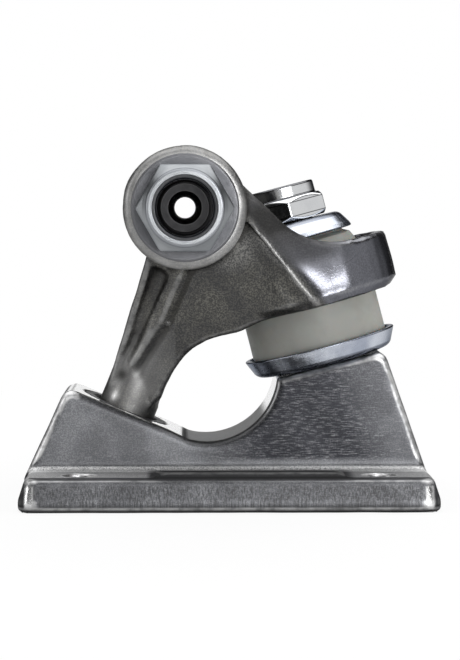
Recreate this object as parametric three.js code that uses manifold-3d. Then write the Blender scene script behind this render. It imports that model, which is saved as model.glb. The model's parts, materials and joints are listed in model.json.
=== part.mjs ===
// Skateboard truck, standing on the face that meets the deck.
// Millimetres, +Z up, +Y along the axle, +X from the pivot towards the kingpin.
// The origin is the middle of the base plate's deck face.
import * as THREE from "three";
import { mergeVertices } from "three/addons/utils/BufferGeometryUtils.js";
import Module from "manifold-3d";

const wasm = await Module();
wasm.setup();

const degrees = Math.PI / 180;
const hexSides = 6;

// Clearances that several pieces share
const seatGap = 0.25;
const boreGap = 0.25;
const cutOverrun = 4;
const weldDistance = 0.0005;

// Counts of facets
const roundSegments = 40;
const smallSegments = 28;
const arcSteps = 3;
const filletSteps = 7;
const fluteSides = 12;

// Axle and hanger barrel
const axle = {
  setBack: 7.9,
  height: 54,
  length: 212,
  diameter: 7.94,
  bore: 4.8,
  endChamfer: 0.5,
};
const barrel = { width: 149, endRadius: 9.8, middleRadius: 10.7, middleLength: 50, endChamfer: 0.8 };

// Kingpin line, from the middle of its seat on the base plate
const kingpin = {
  seatX: 18.2,
  seatHeight: 25,
  tilt: 14.6 * degrees,
  diameter: 9.52,
  headAcross: 14.29,
  headHeight: 5.4,
  headRecess: 0.4,
  chamfer: 0.8,
  tipDrop: 0.4,
};

// Pivot line, from the middle of the ball
const pivot = { x: -21.6, height: 10.5, tilt: 22.5 * degrees, ballRadius: 5.2, neckRadius: 5.1, mouth: 6.65 };
const pivotCup = {
  mouthRadius: 8,
  floorRadius: 6.4,
  floor: 1.4,
  floorRound: 2,
  ballGap: 0.3,
  mouthFlare: 1.15,
};

// Base plate
const flange = {
  length: 75.4,
  width: 56,
  thickness: 6,
  cornerRadius: 3,
  footChamfer: 0.5,
  sideHeight: 2,
  lipHeight: 4.8,
  draft: 0.9,
};
const boltPattern = { length: 53.98, width: 41.28, holeRadius: 2.75 };
const block = {
  footHalfWidth: 11.2,
  topHalfWidth: 9.9,
  pivotEndInset: 0.95,
  kingpinEndInset: 1.35,
  pivotEndLean: 24.8 * degrees,
  kingpinEndLean: 19.1 * degrees,
  cornerRadius: 2,
  edgeRound: 1.2,
  rimWidth: 0.7,
  sink: 2,
};
const notch = { x: -3.9, height: 24.05, radius: 13, startAngle: -104.5 * degrees };
const namePad = { start: -14, length: 34.8, width: 4, height: 1, slant: 1.8, inset: 1.4, sink: 1 };

// Bushings and cup washers
const lowerWasher = { radius: 14.4, thickness: 1.5, rim: 3.5, bend: 3 };
const upperWasher = { radius: 11.5, thickness: 1.5, rim: 3.2, bend: 2.4 };
const lowerBushing = { radius: 12.7, height: 11.4, endRound: 1.9 };
const upperBushing = {
  radius: 12,
  shoulderRadius: 10.8,
  neckRadius: 9.6,
  height: 8.3,
  endRound: 1.4,
  shoulderRise: 0.6,
  shoulderDrop: 3.2,
};

// Hanger
const yoke = {
  radius: 17.15,
  height: 10.2,
  footDrop: 2.5,
  footChamfer: 1.5,
  topRound: 0.8,
  webThickness: 3,
  webHole: 7.2,
  pocketGap: 0.45,
  mouthRadius: 14.7,
  mouthDepth: 3,
  flare: 9 * degrees,
};
const arm = { lean: 58 * degrees, fillet: 14, drop: 0.6 };
const web = { stemHalfWidth: 3.6, stemStart: 9.5, stemTuck: 1.7, neckInset: 0.4, ridgeInset: 0.3, ridgeOverlap: 0.6 };
const relief = { washerGap: 1.1, nutGap: 1.3, rise: 1.2 };
const flute = { radius: 2.1, footRadius: 0.5 };
const axleGap = 0.25;

// Fasteners
const kingpinNut = { across: 14.29, height: 4.3, collar: 2.4, collarRadius: 6.4, collarWall: 0.45 };
const axleNut = { across: 12.7, height: 5, collar: 2.4, collarRadius: 5.7, collarWall: 0.45 };
const nutTurn = 4.5 * degrees;
const speedWasher = { radius: 8, thickness: 1, boreGap: 0.3 };

// Shares of the distance from the pivot to the yoke, along that line and across it
const undersideShares = [
  [0.255, 0.005],
  [0.307, 0.036],
  [0.376, 0.066],
  [0.44, 0.085],
  [0.5, 0.091],
  [0.556, 0.082],
  [0.61, 0.06],
  [0.685, 0.027],
  [0.77, 0.008],
  [0.85, -0.022],
];
const ridgeShare = 0.977;
// Shares of the barrel's radius: out to the arm's edge, and then across the stem and along it
const ridgeHeadShare = 0.67;
const backShares = [-0.306, -0.825];
// Shares of the distance from the pivot to the yoke again
const fluteFootShares = [0.19, 0.185];
const fluteHeadShares = [0.593, 0.414];
const chamferShare = 0.5;

// Places along the kingpin line
const stack = { lowerWasher: seatGap };
stack.lowerBushing = stack.lowerWasher + lowerWasher.thickness + seatGap;
stack.webFoot = stack.lowerBushing + lowerBushing.height + seatGap;
stack.webTop = stack.webFoot + yoke.webThickness;
stack.upperBushing = stack.webTop + seatGap;
stack.upperWasher = stack.upperBushing + upperBushing.height + seatGap + upperWasher.thickness;
stack.nut = stack.upperWasher + seatGap;
stack.nutTop = stack.nut + kingpinNut.height + kingpinNut.collar;
stack.yokeFoot = stack.webFoot - yoke.footDrop;
stack.yokeTop = stack.yokeFoot + yoke.height;
stack.tip = stack.nutTop - kingpin.tipDrop;

const headCorner = kingpin.headAcross / 2 / Math.cos(Math.PI / hexSides);
stack.headFoot =
  (kingpin.headRecess + headCorner * Math.sin(kingpin.tilt) - kingpin.seatHeight) / Math.cos(kingpin.tilt);
stack.headTop = stack.headFoot + kingpin.headHeight;

const kingpinRadius = kingpin.diameter / 2;
const kingpinBore = kingpinRadius + boreGap;
const axleRadius = axle.diameter / 2;

// Directions in the middle plane
const direction = (angle) => new THREE.Vector3(Math.sin(angle), 0, Math.cos(angle));
const along = (origin, way, distance) => origin.clone().addScaledVector(way, distance);
const kingpinSeat = new THREE.Vector3(kingpin.seatX, 0, kingpin.seatHeight);
const kingpinUp = direction(-kingpin.tilt);
const kingpinOut = direction(Math.PI / 2 - kingpin.tilt);
const pivotBall = new THREE.Vector3(pivot.x, 0, pivot.height);
const pivotUp = direction(pivot.tilt);
const pivotOut = direction(Math.PI / 2 + pivot.tilt);
const barrelMiddle = new THREE.Vector3(-axle.setBack, 0, axle.height);
const yokeMiddle = along(kingpinSeat, kingpinUp, (stack.webFoot + stack.webTop) / 2);
const steerLength = yokeMiddle.distanceTo(pivotBall);
const steerAlong = yokeMiddle.clone().sub(pivotBall).normalize();
const steerAcross = new THREE.Vector3(-steerAlong.z, 0, steerAlong.x);
const ridgeFoot = along(pivotBall, steerAlong, ridgeShare * steerLength);
const armWay = direction(arm.lean - Math.PI / 2 - kingpin.tilt);
const armOut = new THREE.Vector3(armWay.z, 0, -armWay.x);
const ridgeHead = along(barrelMiddle, armOut, ridgeHeadShare * barrel.middleRadius);
const ridgeWay = ridgeHead.clone().sub(ridgeFoot).normalize();

// Frames: the local +Z runs up the kingpin, up the stem, or out along the axle
const frame = (origin, turn) => new THREE.Matrix4().makeRotationY(turn).setPosition(origin);
const kingpinFrame = frame(kingpinSeat, -kingpin.tilt);
const pivotFrame = frame(pivotBall, pivot.tilt);
function axleFrame(side, distance) {
  const origin = new THREE.Vector3(barrelMiddle.x, side * distance, barrelMiddle.z);
  return new THREE.Matrix4().makeRotationX((-side * Math.PI) / 2).setPosition(origin);
}

// Where two lines of the middle plane meet
function meet(from, way, otherFrom, otherWay) {
  const gap = otherFrom.clone().sub(from);
  const cross = way.x * otherWay.z - way.z * otherWay.x;
  return along(from, way, (gap.x * otherWay.z - gap.z * otherWay.x) / cross);
}

// The points of an arc about a middle, from one angle to another
function arcPoints(x, y, radius, from, to, steps) {
  const points = [];
  for (let i = 0; i <= steps; i += 1) {
    const angle = from + ((to - from) * i) / steps;
    points.push([x + radius * Math.cos(angle), y + radius * Math.sin(angle)]);
  }
  return points;
}

// A corner of an outline, rounded off
function roundedCorner(before, corner, after, radius) {
  const back = before.clone().sub(corner).normalize();
  const on = after.clone().sub(corner).normalize();
  const halfAngle = back.angleTo(on) / 2;
  const middle = along(corner, back.clone().add(on).normalize(), radius / Math.sin(halfAngle));
  const start = along(corner, back, radius / Math.tan(halfAngle)).sub(middle);
  const end = along(corner, on, radius / Math.tan(halfAngle)).sub(middle);
  const points = [];
  for (let i = 0; i <= arcSteps; i += 1) {
    const way = start.clone().lerp(end, i / arcSteps).normalize();
    points.push(along(middle, way, radius));
  }
  return points;
}

// Solids and meshes
function solidFrom(geometry) {
  geometry.deleteAttribute("normal");
  geometry.deleteAttribute("uv");
  const welded = mergeVertices(geometry, weldDistance);
  const index = welded.index.array;
  const triangles = [];
  for (let i = 0; i < index.length; i += 3) {
    const [a, b, c] = index.slice(i, i + 3);
    if (a !== b && b !== c && c !== a) {
      triangles.push(a, b, c);
    }
  }
  const vertProperties = new Float32Array(welded.attributes.position.array);
  return new wasm.Manifold(new wasm.Mesh({ numProp: 3, vertProperties, triVerts: new Uint32Array(triangles) }));
}

function geometryFrom(solid) {
  const mesh = solid.getMesh();
  const geometry = new THREE.BufferGeometry();
  geometry.setAttribute("position", new THREE.BufferAttribute(mesh.vertProperties, 3));
  geometry.setIndex(new THREE.BufferAttribute(mesh.triVerts, 1));
  return geometry;
}

const join = (first, ...others) => others.reduce((whole, part) => whole.add(part), first);
const cut = (first, ...others) => others.reduce((whole, part) => whole.subtract(part), first);

// A turned solid about a frame's +Z: radius and height pairs, with the outside running upwards
function turned(profile, matrix, segments = roundSegments) {
  const points = profile.map(([radius, height]) => new THREE.Vector2(radius, height));
  return solidFrom(new THREE.LatheGeometry(points, segments).rotateX(Math.PI / 2).applyMatrix4(matrix));
}

function rod(radius, foot, top, matrix, segments = smallSegments) {
  const profile = [
    [0, foot],
    [radius, foot],
    [radius, top],
    [0, top],
  ];
  return turned(profile, matrix, segments);
}

// A turned ring: the section of a washer, a bushing or a tube, closed on itself
const ring = (profile, matrix, segments) => turned([...profile, profile[0]], matrix, segments);

// A hexagonal bar about a frame's +Z
function hexBar(across, foot, top, turn, matrix) {
  const corner = across / 2 / Math.cos(Math.PI / hexSides);
  const geometry = new THREE.CylinderGeometry(corner, corner, top - foot, hexSides);
  geometry.rotateX(Math.PI / 2).rotateZ(turn).translate(0, 0, (foot + top) / 2);
  return solidFrom(geometry.applyMatrix4(matrix));
}

function boxSolid(low, high, matrix) {
  const size = high.map((value, i) => value - low[i]);
  const geometry = new THREE.BoxGeometry(...size);
  geometry.translate(...high.map((value, i) => (value + low[i]) / 2));
  return solidFrom(geometry.applyMatrix4(matrix));
}

// A slab with an outline in the middle plane, whose half width follows a law of the place
function slab(outline, halfWidthAt, edgeRound) {
  const full = Math.max(...outline.map(halfWidthAt));
  const shape = new THREE.Shape(outline.map((point) => new THREE.Vector2(point.x, point.z)));
  const geometry = new THREE.ExtrudeGeometry(shape, {
    depth: 2 * (full - edgeRound),
    bevelEnabled: edgeRound > 0,
    bevelThickness: edgeRound,
    bevelSize: edgeRound,
    bevelOffset: -edgeRound,
    bevelSegments: arcSteps,
  });
  geometry.translate(0, 0, edgeRound - full).rotateX(Math.PI / 2);
  const position = geometry.attributes.position;
  for (let i = 0; i < position.count; i += 1) {
    const place = new THREE.Vector3().fromBufferAttribute(position, i);
    position.setY(i, (place.y * halfWidthAt(place)) / full);
  }
  return solidFrom(geometry);
}

// A solid between rounded rectangles, one for each [height, inset]
function roundedPlate(length, width, cornerRadius, levels) {
  const rings = levels.map(([height, inset]) => {
    const radius = Math.max(cornerRadius - inset, cornerRadius * chamferShare);
    const x = length / 2 - inset - radius;
    const y = width / 2 - inset - radius;
    const middles = [
      [x, y],
      [-x, y],
      [-x, -y],
      [x, -y],
    ];
    return middles.flatMap(([cx, cy], i) => {
      const from = (i * Math.PI) / 2;
      return arcPoints(cx, cy, radius, from, from + Math.PI / 2, arcSteps).map(([px, py]) => [px, py, height]);
    });
  });
  const count = rings[0].length;
  const top = rings.length - 1;
  const positions = [...rings.flat(), [0, 0, levels[0][0]], [0, 0, levels[top][0]]];
  const index = [];
  for (let i = 0; i < count; i += 1) {
    const j = (i + 1) % count;
    index.push(j, i, top * count + count);
    index.push(top * count + i, top * count + j, top * count + count + 1);
    for (let level = 0; level < top; level += 1) {
      const low = level * count;
      const high = low + count;
      index.push(low + i, low + j, high + j, low + i, high + j, high + i);
    }
  }
  const geometry = new THREE.BufferGeometry();
  geometry.setAttribute("position", new THREE.Float32BufferAttribute(positions.flat(), 3));
  geometry.setIndex(index);
  return solidFrom(geometry);
}

// Base plate
function flangeSolid() {
  const { length, width, cornerRadius, thickness, footChamfer, sideHeight, lipHeight, draft } = flange;
  const lip = thickness - lipHeight;
  const levels = [
    [0, footChamfer],
    [footChamfer, 0],
    [sideHeight, 0],
    ...arcPoints(-draft - lip, lipHeight, lip, 0, Math.PI / 2, arcSteps).map(([x, z]) => [z, -x]),
  ];
  return roundedPlate(length, width, cornerRadius, levels);
}

function blockSolid() {
  const pivotWay = direction(block.pivotEndLean);
  const kingpinWay = direction(-block.kingpinEndLean);
  const pivotFoot = new THREE.Vector3(block.pivotEndInset - flange.length / 2, 0, flange.thickness);
  const kingpinFoot = new THREE.Vector3(flange.length / 2 - block.kingpinEndInset, 0, flange.thickness);
  const face = along(pivotBall, pivotUp, pivot.mouth);
  const notchMiddle = new THREE.Vector3(notch.x, 0, notch.height);
  const pivotCorner = meet(pivotFoot, pivotWay, face, pivotOut);
  const kingpinCorner = meet(kingpinFoot, kingpinWay, kingpinSeat, kingpinOut);
  const faceEnd = along(face, pivotOut, pivotCup.mouthRadius + block.rimWidth);
  const seatStart = meetCircle(kingpinSeat, kingpinOut.clone().negate(), notchMiddle, notch.radius);
  const to = Math.atan2(seatStart.z - notchMiddle.z, seatStart.x - notchMiddle.x);
  const gapArc = arcPoints(notch.x, notch.height, notch.radius, notch.startAngle, to, 2 * filletSteps);
  const outline = [
    along(kingpinFoot, kingpinWay, -block.sink / Math.cos(block.kingpinEndLean)),
    ...roundedCorner(kingpinFoot, kingpinCorner, kingpinSeat, block.cornerRadius),
    ...gapArc.reverse().map(([x, z]) => new THREE.Vector3(x, 0, z)),
    faceEnd,
    ...roundedCorner(face, pivotCorner, pivotFoot, block.cornerRadius),
    along(pivotFoot, pivotWay, -block.sink / Math.cos(block.pivotEndLean)),
  ];
  const slope = (block.footHalfWidth - block.topHalfWidth) / (kingpinCorner.z - flange.thickness);
  const halfWidthAt = (place) => block.footHalfWidth - slope * (place.z - flange.thickness);
  return slab(outline, halfWidthAt, block.edgeRound);
}

// The first point of a line that lies on a circle of the middle plane
function meetCircle(from, way, middle, radius) {
  const gap = middle.clone().sub(from);
  const reach = gap.dot(way);
  const off = gap.lengthSq() - reach * reach;
  return along(from, way, reach - Math.sqrt(radius * radius - off));
}

function namePadSolid(side) {
  const { start, length, width, height, slant, inset, sink } = namePad;
  const outer = flange.width / 2 - flange.draft - inset;
  const inner = outer - width;
  const shape = new THREE.Shape();
  shape.moveTo(start, side * inner);
  shape.lineTo(start + length - slant, side * inner);
  shape.lineTo(start + length, side * outer);
  shape.lineTo(start + slant, side * outer);
  const geometry = new THREE.ExtrudeGeometry(shape, { depth: height + sink, bevelEnabled: false });
  return solidFrom(geometry.translate(0, 0, flange.thickness - sink));
}

function cupOuterProfile(gap, rise) {
  const floor = -(pivot.ballRadius + pivotCup.ballGap + pivotCup.floor + gap);
  const round = pivotCup.floorRound;
  const bend = arcPoints(pivotCup.floorRadius + gap - round, floor + round, round, -Math.PI / 2, 0, arcSteps);
  const top = pivotCup.mouthRadius + gap;
  return [[0, floor], ...bend, [top, pivot.mouth], ...(rise > 0 ? [[top, pivot.mouth + rise]] : [])];
}

function baseplateSolid() {
  const upright = new THREE.Matrix4();
  const body = join(flangeSolid(), blockSolid(), namePadSolid(-1), namePadSolid(1));
  const socketProfile = [...cupOuterProfile(boreGap, cutOverrun), [0, pivot.mouth + cutOverrun]];
  const recessTop = stack.headTop + seatGap;
  const recessAcross = kingpin.headAcross + 2 * boreGap;
  const holes = [];
  for (const x of [-1, 1]) {
    for (const y of [-1, 1]) {
      const place = upright.clone().setPosition((x * boltPattern.length) / 2, (y * boltPattern.width) / 2, 0);
      holes.push(rod(boltPattern.holeRadius, -cutOverrun, flange.thickness + cutOverrun, place));
    }
  }
  return cut(
    body,
    turned(socketProfile, pivotFrame),
    rod(kingpinBore, stack.headFoot, cutOverrun, kingpinFrame),
    hexBar(recessAcross, stack.headFoot - 2 * cutOverrun, recessTop, 0, kingpinFrame),
    ...holes,
  );
}

function pivotCupSolid() {
  const { ballRadius, neckRadius, mouth } = pivot;
  const ballSeat = ballRadius + pivotCup.ballGap;
  const outer = cupOuterProfile(0, 0);
  const bowl = arcPoints(0, 0, ballSeat, 0, -Math.PI / 2, filletSteps);
  return turned([...outer, [neckRadius + pivotCup.mouthFlare, mouth], ...bowl], pivotFrame);
}

// Kingpin, washers and bushings
function kingpinSolid() {
  const { headAcross, chamfer } = kingpin;
  const shank = [
    [0, stack.headFoot + chamfer],
    [kingpinRadius, stack.headFoot + chamfer],
    [kingpinRadius, stack.tip - chamfer],
    [kingpinRadius - chamfer, stack.tip],
    [0, stack.tip],
  ];
  const head = hexBar(headAcross, stack.headFoot, stack.headTop, 0, kingpinFrame);
  return join(turned(shank, kingpinFrame, smallSegments), head);
}

// A cup washer, with its floor at the foot and its rim upwards
function cupWasherProfile({ radius, thickness, rim, bend }) {
  const wall = arcPoints(radius - bend, bend, bend, -Math.PI / 2, 0, arcSteps);
  const hollow = arcPoints(radius - bend, bend, bend - thickness, 0, -Math.PI / 2, arcSteps);
  return [
    [kingpinBore, 0],
    ...wall,
    [radius, rim],
    [radius - thickness, rim],
    ...hollow,
    [kingpinBore, thickness],
  ];
}

function lowerWasherSolid() {
  const lift = kingpinFrame.clone().multiply(new THREE.Matrix4().makeTranslation(0, 0, stack.lowerWasher));
  return ring(cupWasherProfile(lowerWasher), lift);
}

function upperWasherSolid() {
  const flip = new THREE.Matrix4().makeRotationX(Math.PI);
  const lift = new THREE.Matrix4().makeTranslation(0, 0, stack.upperWasher);
  return ring(cupWasherProfile(upperWasher), kingpinFrame.clone().multiply(lift).multiply(flip));
}

function lowerBushingSolid() {
  const { radius, height, endRound } = lowerBushing;
  const foot = stack.lowerBushing;
  const top = foot + height;
  const profile = [
    [kingpinBore, foot],
    ...arcPoints(radius - endRound, foot + endRound, endRound, -Math.PI / 2, 0, arcSteps),
    ...arcPoints(radius - endRound, top - endRound, endRound, 0, Math.PI / 2, arcSteps),
    [kingpinBore, top],
  ];
  return ring(profile, kingpinFrame);
}

function upperBushingSolid() {
  const { radius, shoulderRadius, neckRadius, height, endRound, shoulderRise, shoulderDrop } = upperBushing;
  const foot = stack.upperBushing;
  const top = foot + height;
  const rimFoot = stack.upperWasher - upperWasher.rim - seatGap;
  const profile = [
    [kingpinBore, foot],
    ...arcPoints(radius - endRound, foot + endRound, endRound, -Math.PI / 2, 0, arcSteps),
    [radius, rimFoot - shoulderDrop],
    [shoulderRadius, rimFoot - shoulderRise],
    [neckRadius, rimFoot],
    ...arcPoints(neckRadius - endRound, top - endRound, endRound, 0, Math.PI / 2, arcSteps),
    [kingpinBore, top],
  ];
  return ring(profile, kingpinFrame);
}

// Hanger
function barrelSolid() {
  const { width, endRadius, middleRadius, middleLength, endChamfer } = barrel;
  const end = width / 2;
  const profile = [
    [0, -end],
    [endRadius - endChamfer, -end],
    [endRadius, endChamfer - end],
    [middleRadius, -middleLength / 2],
    [middleRadius, middleLength / 2],
    [endRadius, end - endChamfer],
    [endRadius - endChamfer, end],
    [0, end],
  ];
  return turned(profile, axleFrame(1, 0));
}

function yokeSolid() {
  const { radius, footChamfer, topRound } = yoke;
  const profile = [
    [0, stack.yokeFoot],
    [radius - footChamfer, stack.yokeFoot],
    [radius, stack.yokeFoot + footChamfer],
    ...arcPoints(radius - topRound, stack.yokeTop - topRound, topRound, 0, Math.PI / 2, arcSteps),
    [0, stack.yokeTop],
  ];
  return turned(profile, kingpinFrame);
}

// The arms run from the yoke's sides up to the barrel and spread a little on the way.
// They follow the yoke's round as far as they touch it.
function armSolid() {
  const touch = along(barrelMiddle, armOut, barrel.middleRadius - arm.drop);
  const rise = touch.clone().sub(kingpinSeat).dot(kingpinUp);
  const reach = touch.clone().sub(kingpinSeat).dot(kingpinOut);
  const filletRise = stack.yokeTop + arm.fillet;
  const turn = armOut.angleTo(kingpinUp);
  const filletReach = reach + (arm.fillet - Math.cos(turn) * (filletRise - rise)) / Math.sin(turn);
  const filletArc = arcPoints(filletReach, filletRise, arm.fillet, -Math.PI / 2, -Math.PI / 2 - turn, filletSteps);
  const place = (out, up) => along(along(kingpinSeat, kingpinOut, out), kingpinUp, up);
  const foot = stack.yokeFoot + yoke.footChamfer;
  const outline = [
    place(filletReach, foot),
    place(filletReach, stack.yokeTop - yoke.topRound),
    ...filletArc.map(([out, up]) => place(out, up)),
    touch,
    ridgeHead,
    meet(ridgeFoot, ridgeWay, place(0, foot), kingpinOut),
  ];
  const halfWidthAt = (point) => {
    const out = point.clone().sub(kingpinSeat).dot(kingpinOut);
    return yoke.radius / Math.cos(yoke.flare) - out * Math.tan(yoke.flare);
  };
  const parting = yoke.radius * Math.sin(yoke.flare);
  const reachOut = 2 * (yoke.radius + filletRise);
  const behind = boxSolid([-reachOut, -reachOut, 0], [parting, reachOut, reachOut], kingpinFrame);
  const round = rod(yoke.radius, 0, reachOut, kingpinFrame, roundSegments);
  return slab(outline, halfWidthAt, 0).intersect(join(behind, round));
}

// The web narrows from the yoke down to the pivot stem
function webSolid() {
  const place = ([out, up]) => along(along(pivotBall, steerAlong, out * steerLength), steerAcross, up * steerLength);
  const stem = along(pivotBall, pivotUp, web.stemStart);
  const stemReach = pivot.neckRadius - web.neckInset;
  const tuck = along(stem, pivotUp, -web.stemTuck);
  const ridgeReach = ridgeShare * steerLength;
  const overlap = steerAlong.clone().multiplyScalar(web.ridgeOverlap);
  const yokeEdge = along(kingpinSeat, kingpinUp, stack.yokeFoot);
  const [backOut, backUp] = backShares.map((share) => share * barrel.middleRadius);
  const back = along(along(barrelMiddle, pivotOut, backOut), pivotUp, backUp);
  const outline = [
    along(tuck, pivotOut, stemReach - web.stemTuck),
    ...undersideShares.map(place),
    meet(ridgeFoot.clone().add(overlap), ridgeWay, yokeEdge, kingpinOut),
    ridgeHead.clone().add(overlap),
    barrelMiddle,
    back,
    along(stem, pivotOut, -stemReach),
    along(tuck, pivotOut, web.stemTuck - stemReach),
  ];
  const stemOut = stem.clone().sub(pivotBall).dot(steerAlong);
  const slope = (yoke.radius - web.ridgeInset - web.stemHalfWidth) / (ridgeReach - stemOut);
  const halfWidthAt = (point) => {
    const out = point.clone().sub(pivotBall).dot(steerAlong);
    return web.stemHalfWidth + slope * (out - stemOut);
  };
  return { solid: slab(outline, halfWidthAt, 0), halfWidthAt, place };
}

function stemSolid() {
  const { ballRadius, neckRadius } = pivot;
  const ballAngle = Math.acos(neckRadius / ballRadius);
  const neckTop = web.stemStart + 2 * neckRadius;
  const profile = [
    ...arcPoints(0, 0, ballRadius, -Math.PI / 2, ballAngle, filletSteps),
    [neckRadius, neckTop],
    [0, neckTop],
  ];
  return turned(profile, pivotFrame, smallSegments);
}

// A groove down the side of the stem, deepest under the barrel
function fluteSolid(side, { halfWidthAt, place }) {
  const foot = place(fluteFootShares);
  const head = place(fluteHeadShares);
  foot.y = side * halfWidthAt(foot);
  head.y = side * halfWidthAt(head);
  const way = head.clone().sub(foot);
  const geometry = new THREE.CylinderGeometry(flute.radius, flute.footRadius, way.length(), fluteSides);
  const turn = new THREE.Quaternion().setFromUnitVectors(new THREE.Vector3(0, 1, 0), way.clone().normalize());
  geometry.applyQuaternion(turn).translate(...foot.clone().lerp(head, 1 / 2).toArray());
  return solidFrom(geometry);
}

// The room that the upper washer and the nut need as the hanger rocks
function reliefSolid() {
  const { mouthRadius } = yoke;
  const top = stack.nutTop + 2 * barrel.middleRadius;
  const washerTop = stack.upperWasher + relief.rise;
  const nutCorner = kingpinNut.across / 2 / Math.cos(Math.PI / hexSides);
  const column = rod(mouthRadius, stack.yokeTop - yoke.topRound, top, kingpinFrame, roundSegments);
  const low = [-upperWasher.radius - relief.washerGap, -2 * mouthRadius, 0];
  const high = [2 * mouthRadius, 2 * mouthRadius, washerTop];
  const washerRoom = boxSolid(low, high, kingpinFrame);
  const nutRoom = boxSolid([-nutCorner - relief.nutGap, low[1], 0], [high[0], high[1], top], kingpinFrame);
  return column.intersect(join(washerRoom, nutRoom));
}

function hangerSolid() {
  const webPart = webSolid();
  const whole = join(barrelSolid(), armSolid(), webPart.solid, yokeSolid(), stemSolid());
  const lowerPocket = lowerBushing.radius + yoke.pocketGap;
  const upperPocket = upperBushing.radius + yoke.pocketGap;
  const bowl = [
    [0, stack.webTop],
    [upperPocket, stack.webTop],
    [upperPocket, stack.yokeTop - yoke.mouthDepth],
    [yoke.mouthRadius, stack.yokeTop],
    [0, stack.yokeTop],
  ];
  return cut(
    whole,
    rod(lowerPocket, stack.yokeFoot - 2 * cutOverrun, stack.webFoot, kingpinFrame, roundSegments),
    rod(yoke.webHole, stack.yokeFoot, stack.yokeTop, kingpinFrame),
    turned(bowl, kingpinFrame),
    reliefSolid(),
    rod(axleRadius + axleGap, -axle.length / 2, axle.length / 2, axleFrame(1, 0)),
    fluteSolid(-1, webPart),
    fluteSolid(1, webPart),
  );
}

// Axle and fasteners
function axleSolid() {
  const end = axle.length / 2;
  const bore = axle.bore / 2;
  const profile = [
    [bore, -end],
    [axleRadius - axle.endChamfer, -end],
    [axleRadius, axle.endChamfer - end],
    [axleRadius, end - axle.endChamfer],
    [axleRadius - axle.endChamfer, end],
    [bore, end],
  ];
  return ring(profile, axleFrame(1, 0), smallSegments);
}

// A lock nut on a frame's +Z, with its collar upwards
function lockNut({ across, height, collar, collarRadius, collarWall }, shaftRadius, turn, matrix) {
  const corner = across / 2 / Math.cos(Math.PI / hexSides);
  const fall = (corner - across / 2) * Math.tan(Math.PI / hexSides);
  const top = height + collar;
  const bore = shaftRadius + boreGap;
  const dressed = [
    [0, 0],
    [across / 2, 0],
    [corner, fall],
    [corner, height - fall],
    [across / 2, height],
    [0, height],
  ];
  const hexagon = hexBar(across, 0, height, turn, matrix).intersect(turned(dressed, matrix, smallSegments));
  const collarSolid = rod(collarRadius, height * chamferShare, top, matrix);
  const insertRoom = rod(collarRadius - collarWall, height, top + cutOverrun, matrix);
  return cut(join(hexagon, collarSolid), rod(bore, -cutOverrun, height + cutOverrun, matrix), insertRoom);
}

// The plastic ring inside a lock nut's collar
function nutInsert({ height, collar, collarRadius, collarWall }, shaftRadius, matrix) {
  const outer = collarRadius - collarWall - boreGap;
  const inner = shaftRadius + boreGap;
  const profile = [
    [inner, height + seatGap],
    [outer, height + seatGap],
    [outer, height + collar - seatGap],
    [inner, height + collar - seatGap],
  ];
  return ring(profile, matrix, smallSegments);
}

function speedWasherSolid(matrix) {
  const { radius, thickness, boreGap: gap } = speedWasher;
  const profile = [
    [axleRadius + gap, 0],
    [radius, 0],
    [radius, thickness],
    [axleRadius + gap, thickness],
  ];
  return ring(profile, matrix, smallSegments);
}

// Finishes
const finish = (color, roughness, metalness) => new THREE.MeshStandardMaterial({ color, roughness, metalness });
const castFinish = () => finish(0x84878a, 0.42, 0.9);
const zincFinish = () => finish(0xb4bcc8, 0.22, 1);
const urethaneFinish = () => finish(0x8f9186, 0.55, 0);

const group = new THREE.Group();
function addPiece(name, solid, material) {
  const mesh = new THREE.Mesh(geometryFrom(solid), material);
  mesh.name = name;
  group.add(mesh);
}

addPiece("baseplate", baseplateSolid(), castFinish());
addPiece("pivot_cup", pivotCupSolid(), finish(0x1c1d20, 0.5, 0));
addPiece("kingpin", kingpinSolid(), finish(0x8e9196, 0.35, 1));
addPiece("bottom_washer", lowerWasherSolid(), zincFinish());
addPiece("bottom_bushing", lowerBushingSolid(), urethaneFinish());
addPiece("top_bushing", upperBushingSolid(), urethaneFinish());
addPiece("top_washer", upperWasherSolid(), zincFinish());

const nutFrame = kingpinFrame.clone().multiply(new THREE.Matrix4().makeTranslation(0, 0, stack.nut));
const nutFinish = () => finish(0xc9ccd0, 0.12, 1);
addPiece("kingpin_nut", lockNut(kingpinNut, kingpinRadius, nutTurn, nutFrame), nutFinish());
addPiece("kingpin_nut_insert", nutInsert(kingpinNut, kingpinRadius, nutFrame), finish(0x2a2e36, 0.5, 0));
addPiece("hanger", hangerSolid(), finish(0x5c5a58, 0.5, 0.9));
addPiece("axle", axleSolid(), finish(0x2b2c2e, 0.4, 1));

const nutReach = axle.length / 2 - axleNut.height - axleNut.collar;
for (const [side, word] of [
  [-1, "left"],
  [1, "right"],
]) {
  const innerFrame = axleFrame(side, barrel.width / 2 + seatGap);
  const outerFrame = axleFrame(side, nutReach - seatGap - speedWasher.thickness);
  const sideNutFrame = axleFrame(side, nutReach);
  addPiece(`inner_washer_${word}`, speedWasherSolid(innerFrame), zincFinish());
  addPiece(`outer_washer_${word}`, speedWasherSolid(outerFrame), zincFinish());
  addPiece(`axle_nut_${word}`, lockNut(axleNut, axleRadius, Math.PI / 2, sideNutFrame), nutFinish());
  addPiece(`axle_nut_insert_${word}`, nutInsert(axleNut, axleRadius, sideNutFrame), finish(0x5b6470, 0.5, 0));
}

export default group;
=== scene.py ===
import json
import math

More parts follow.
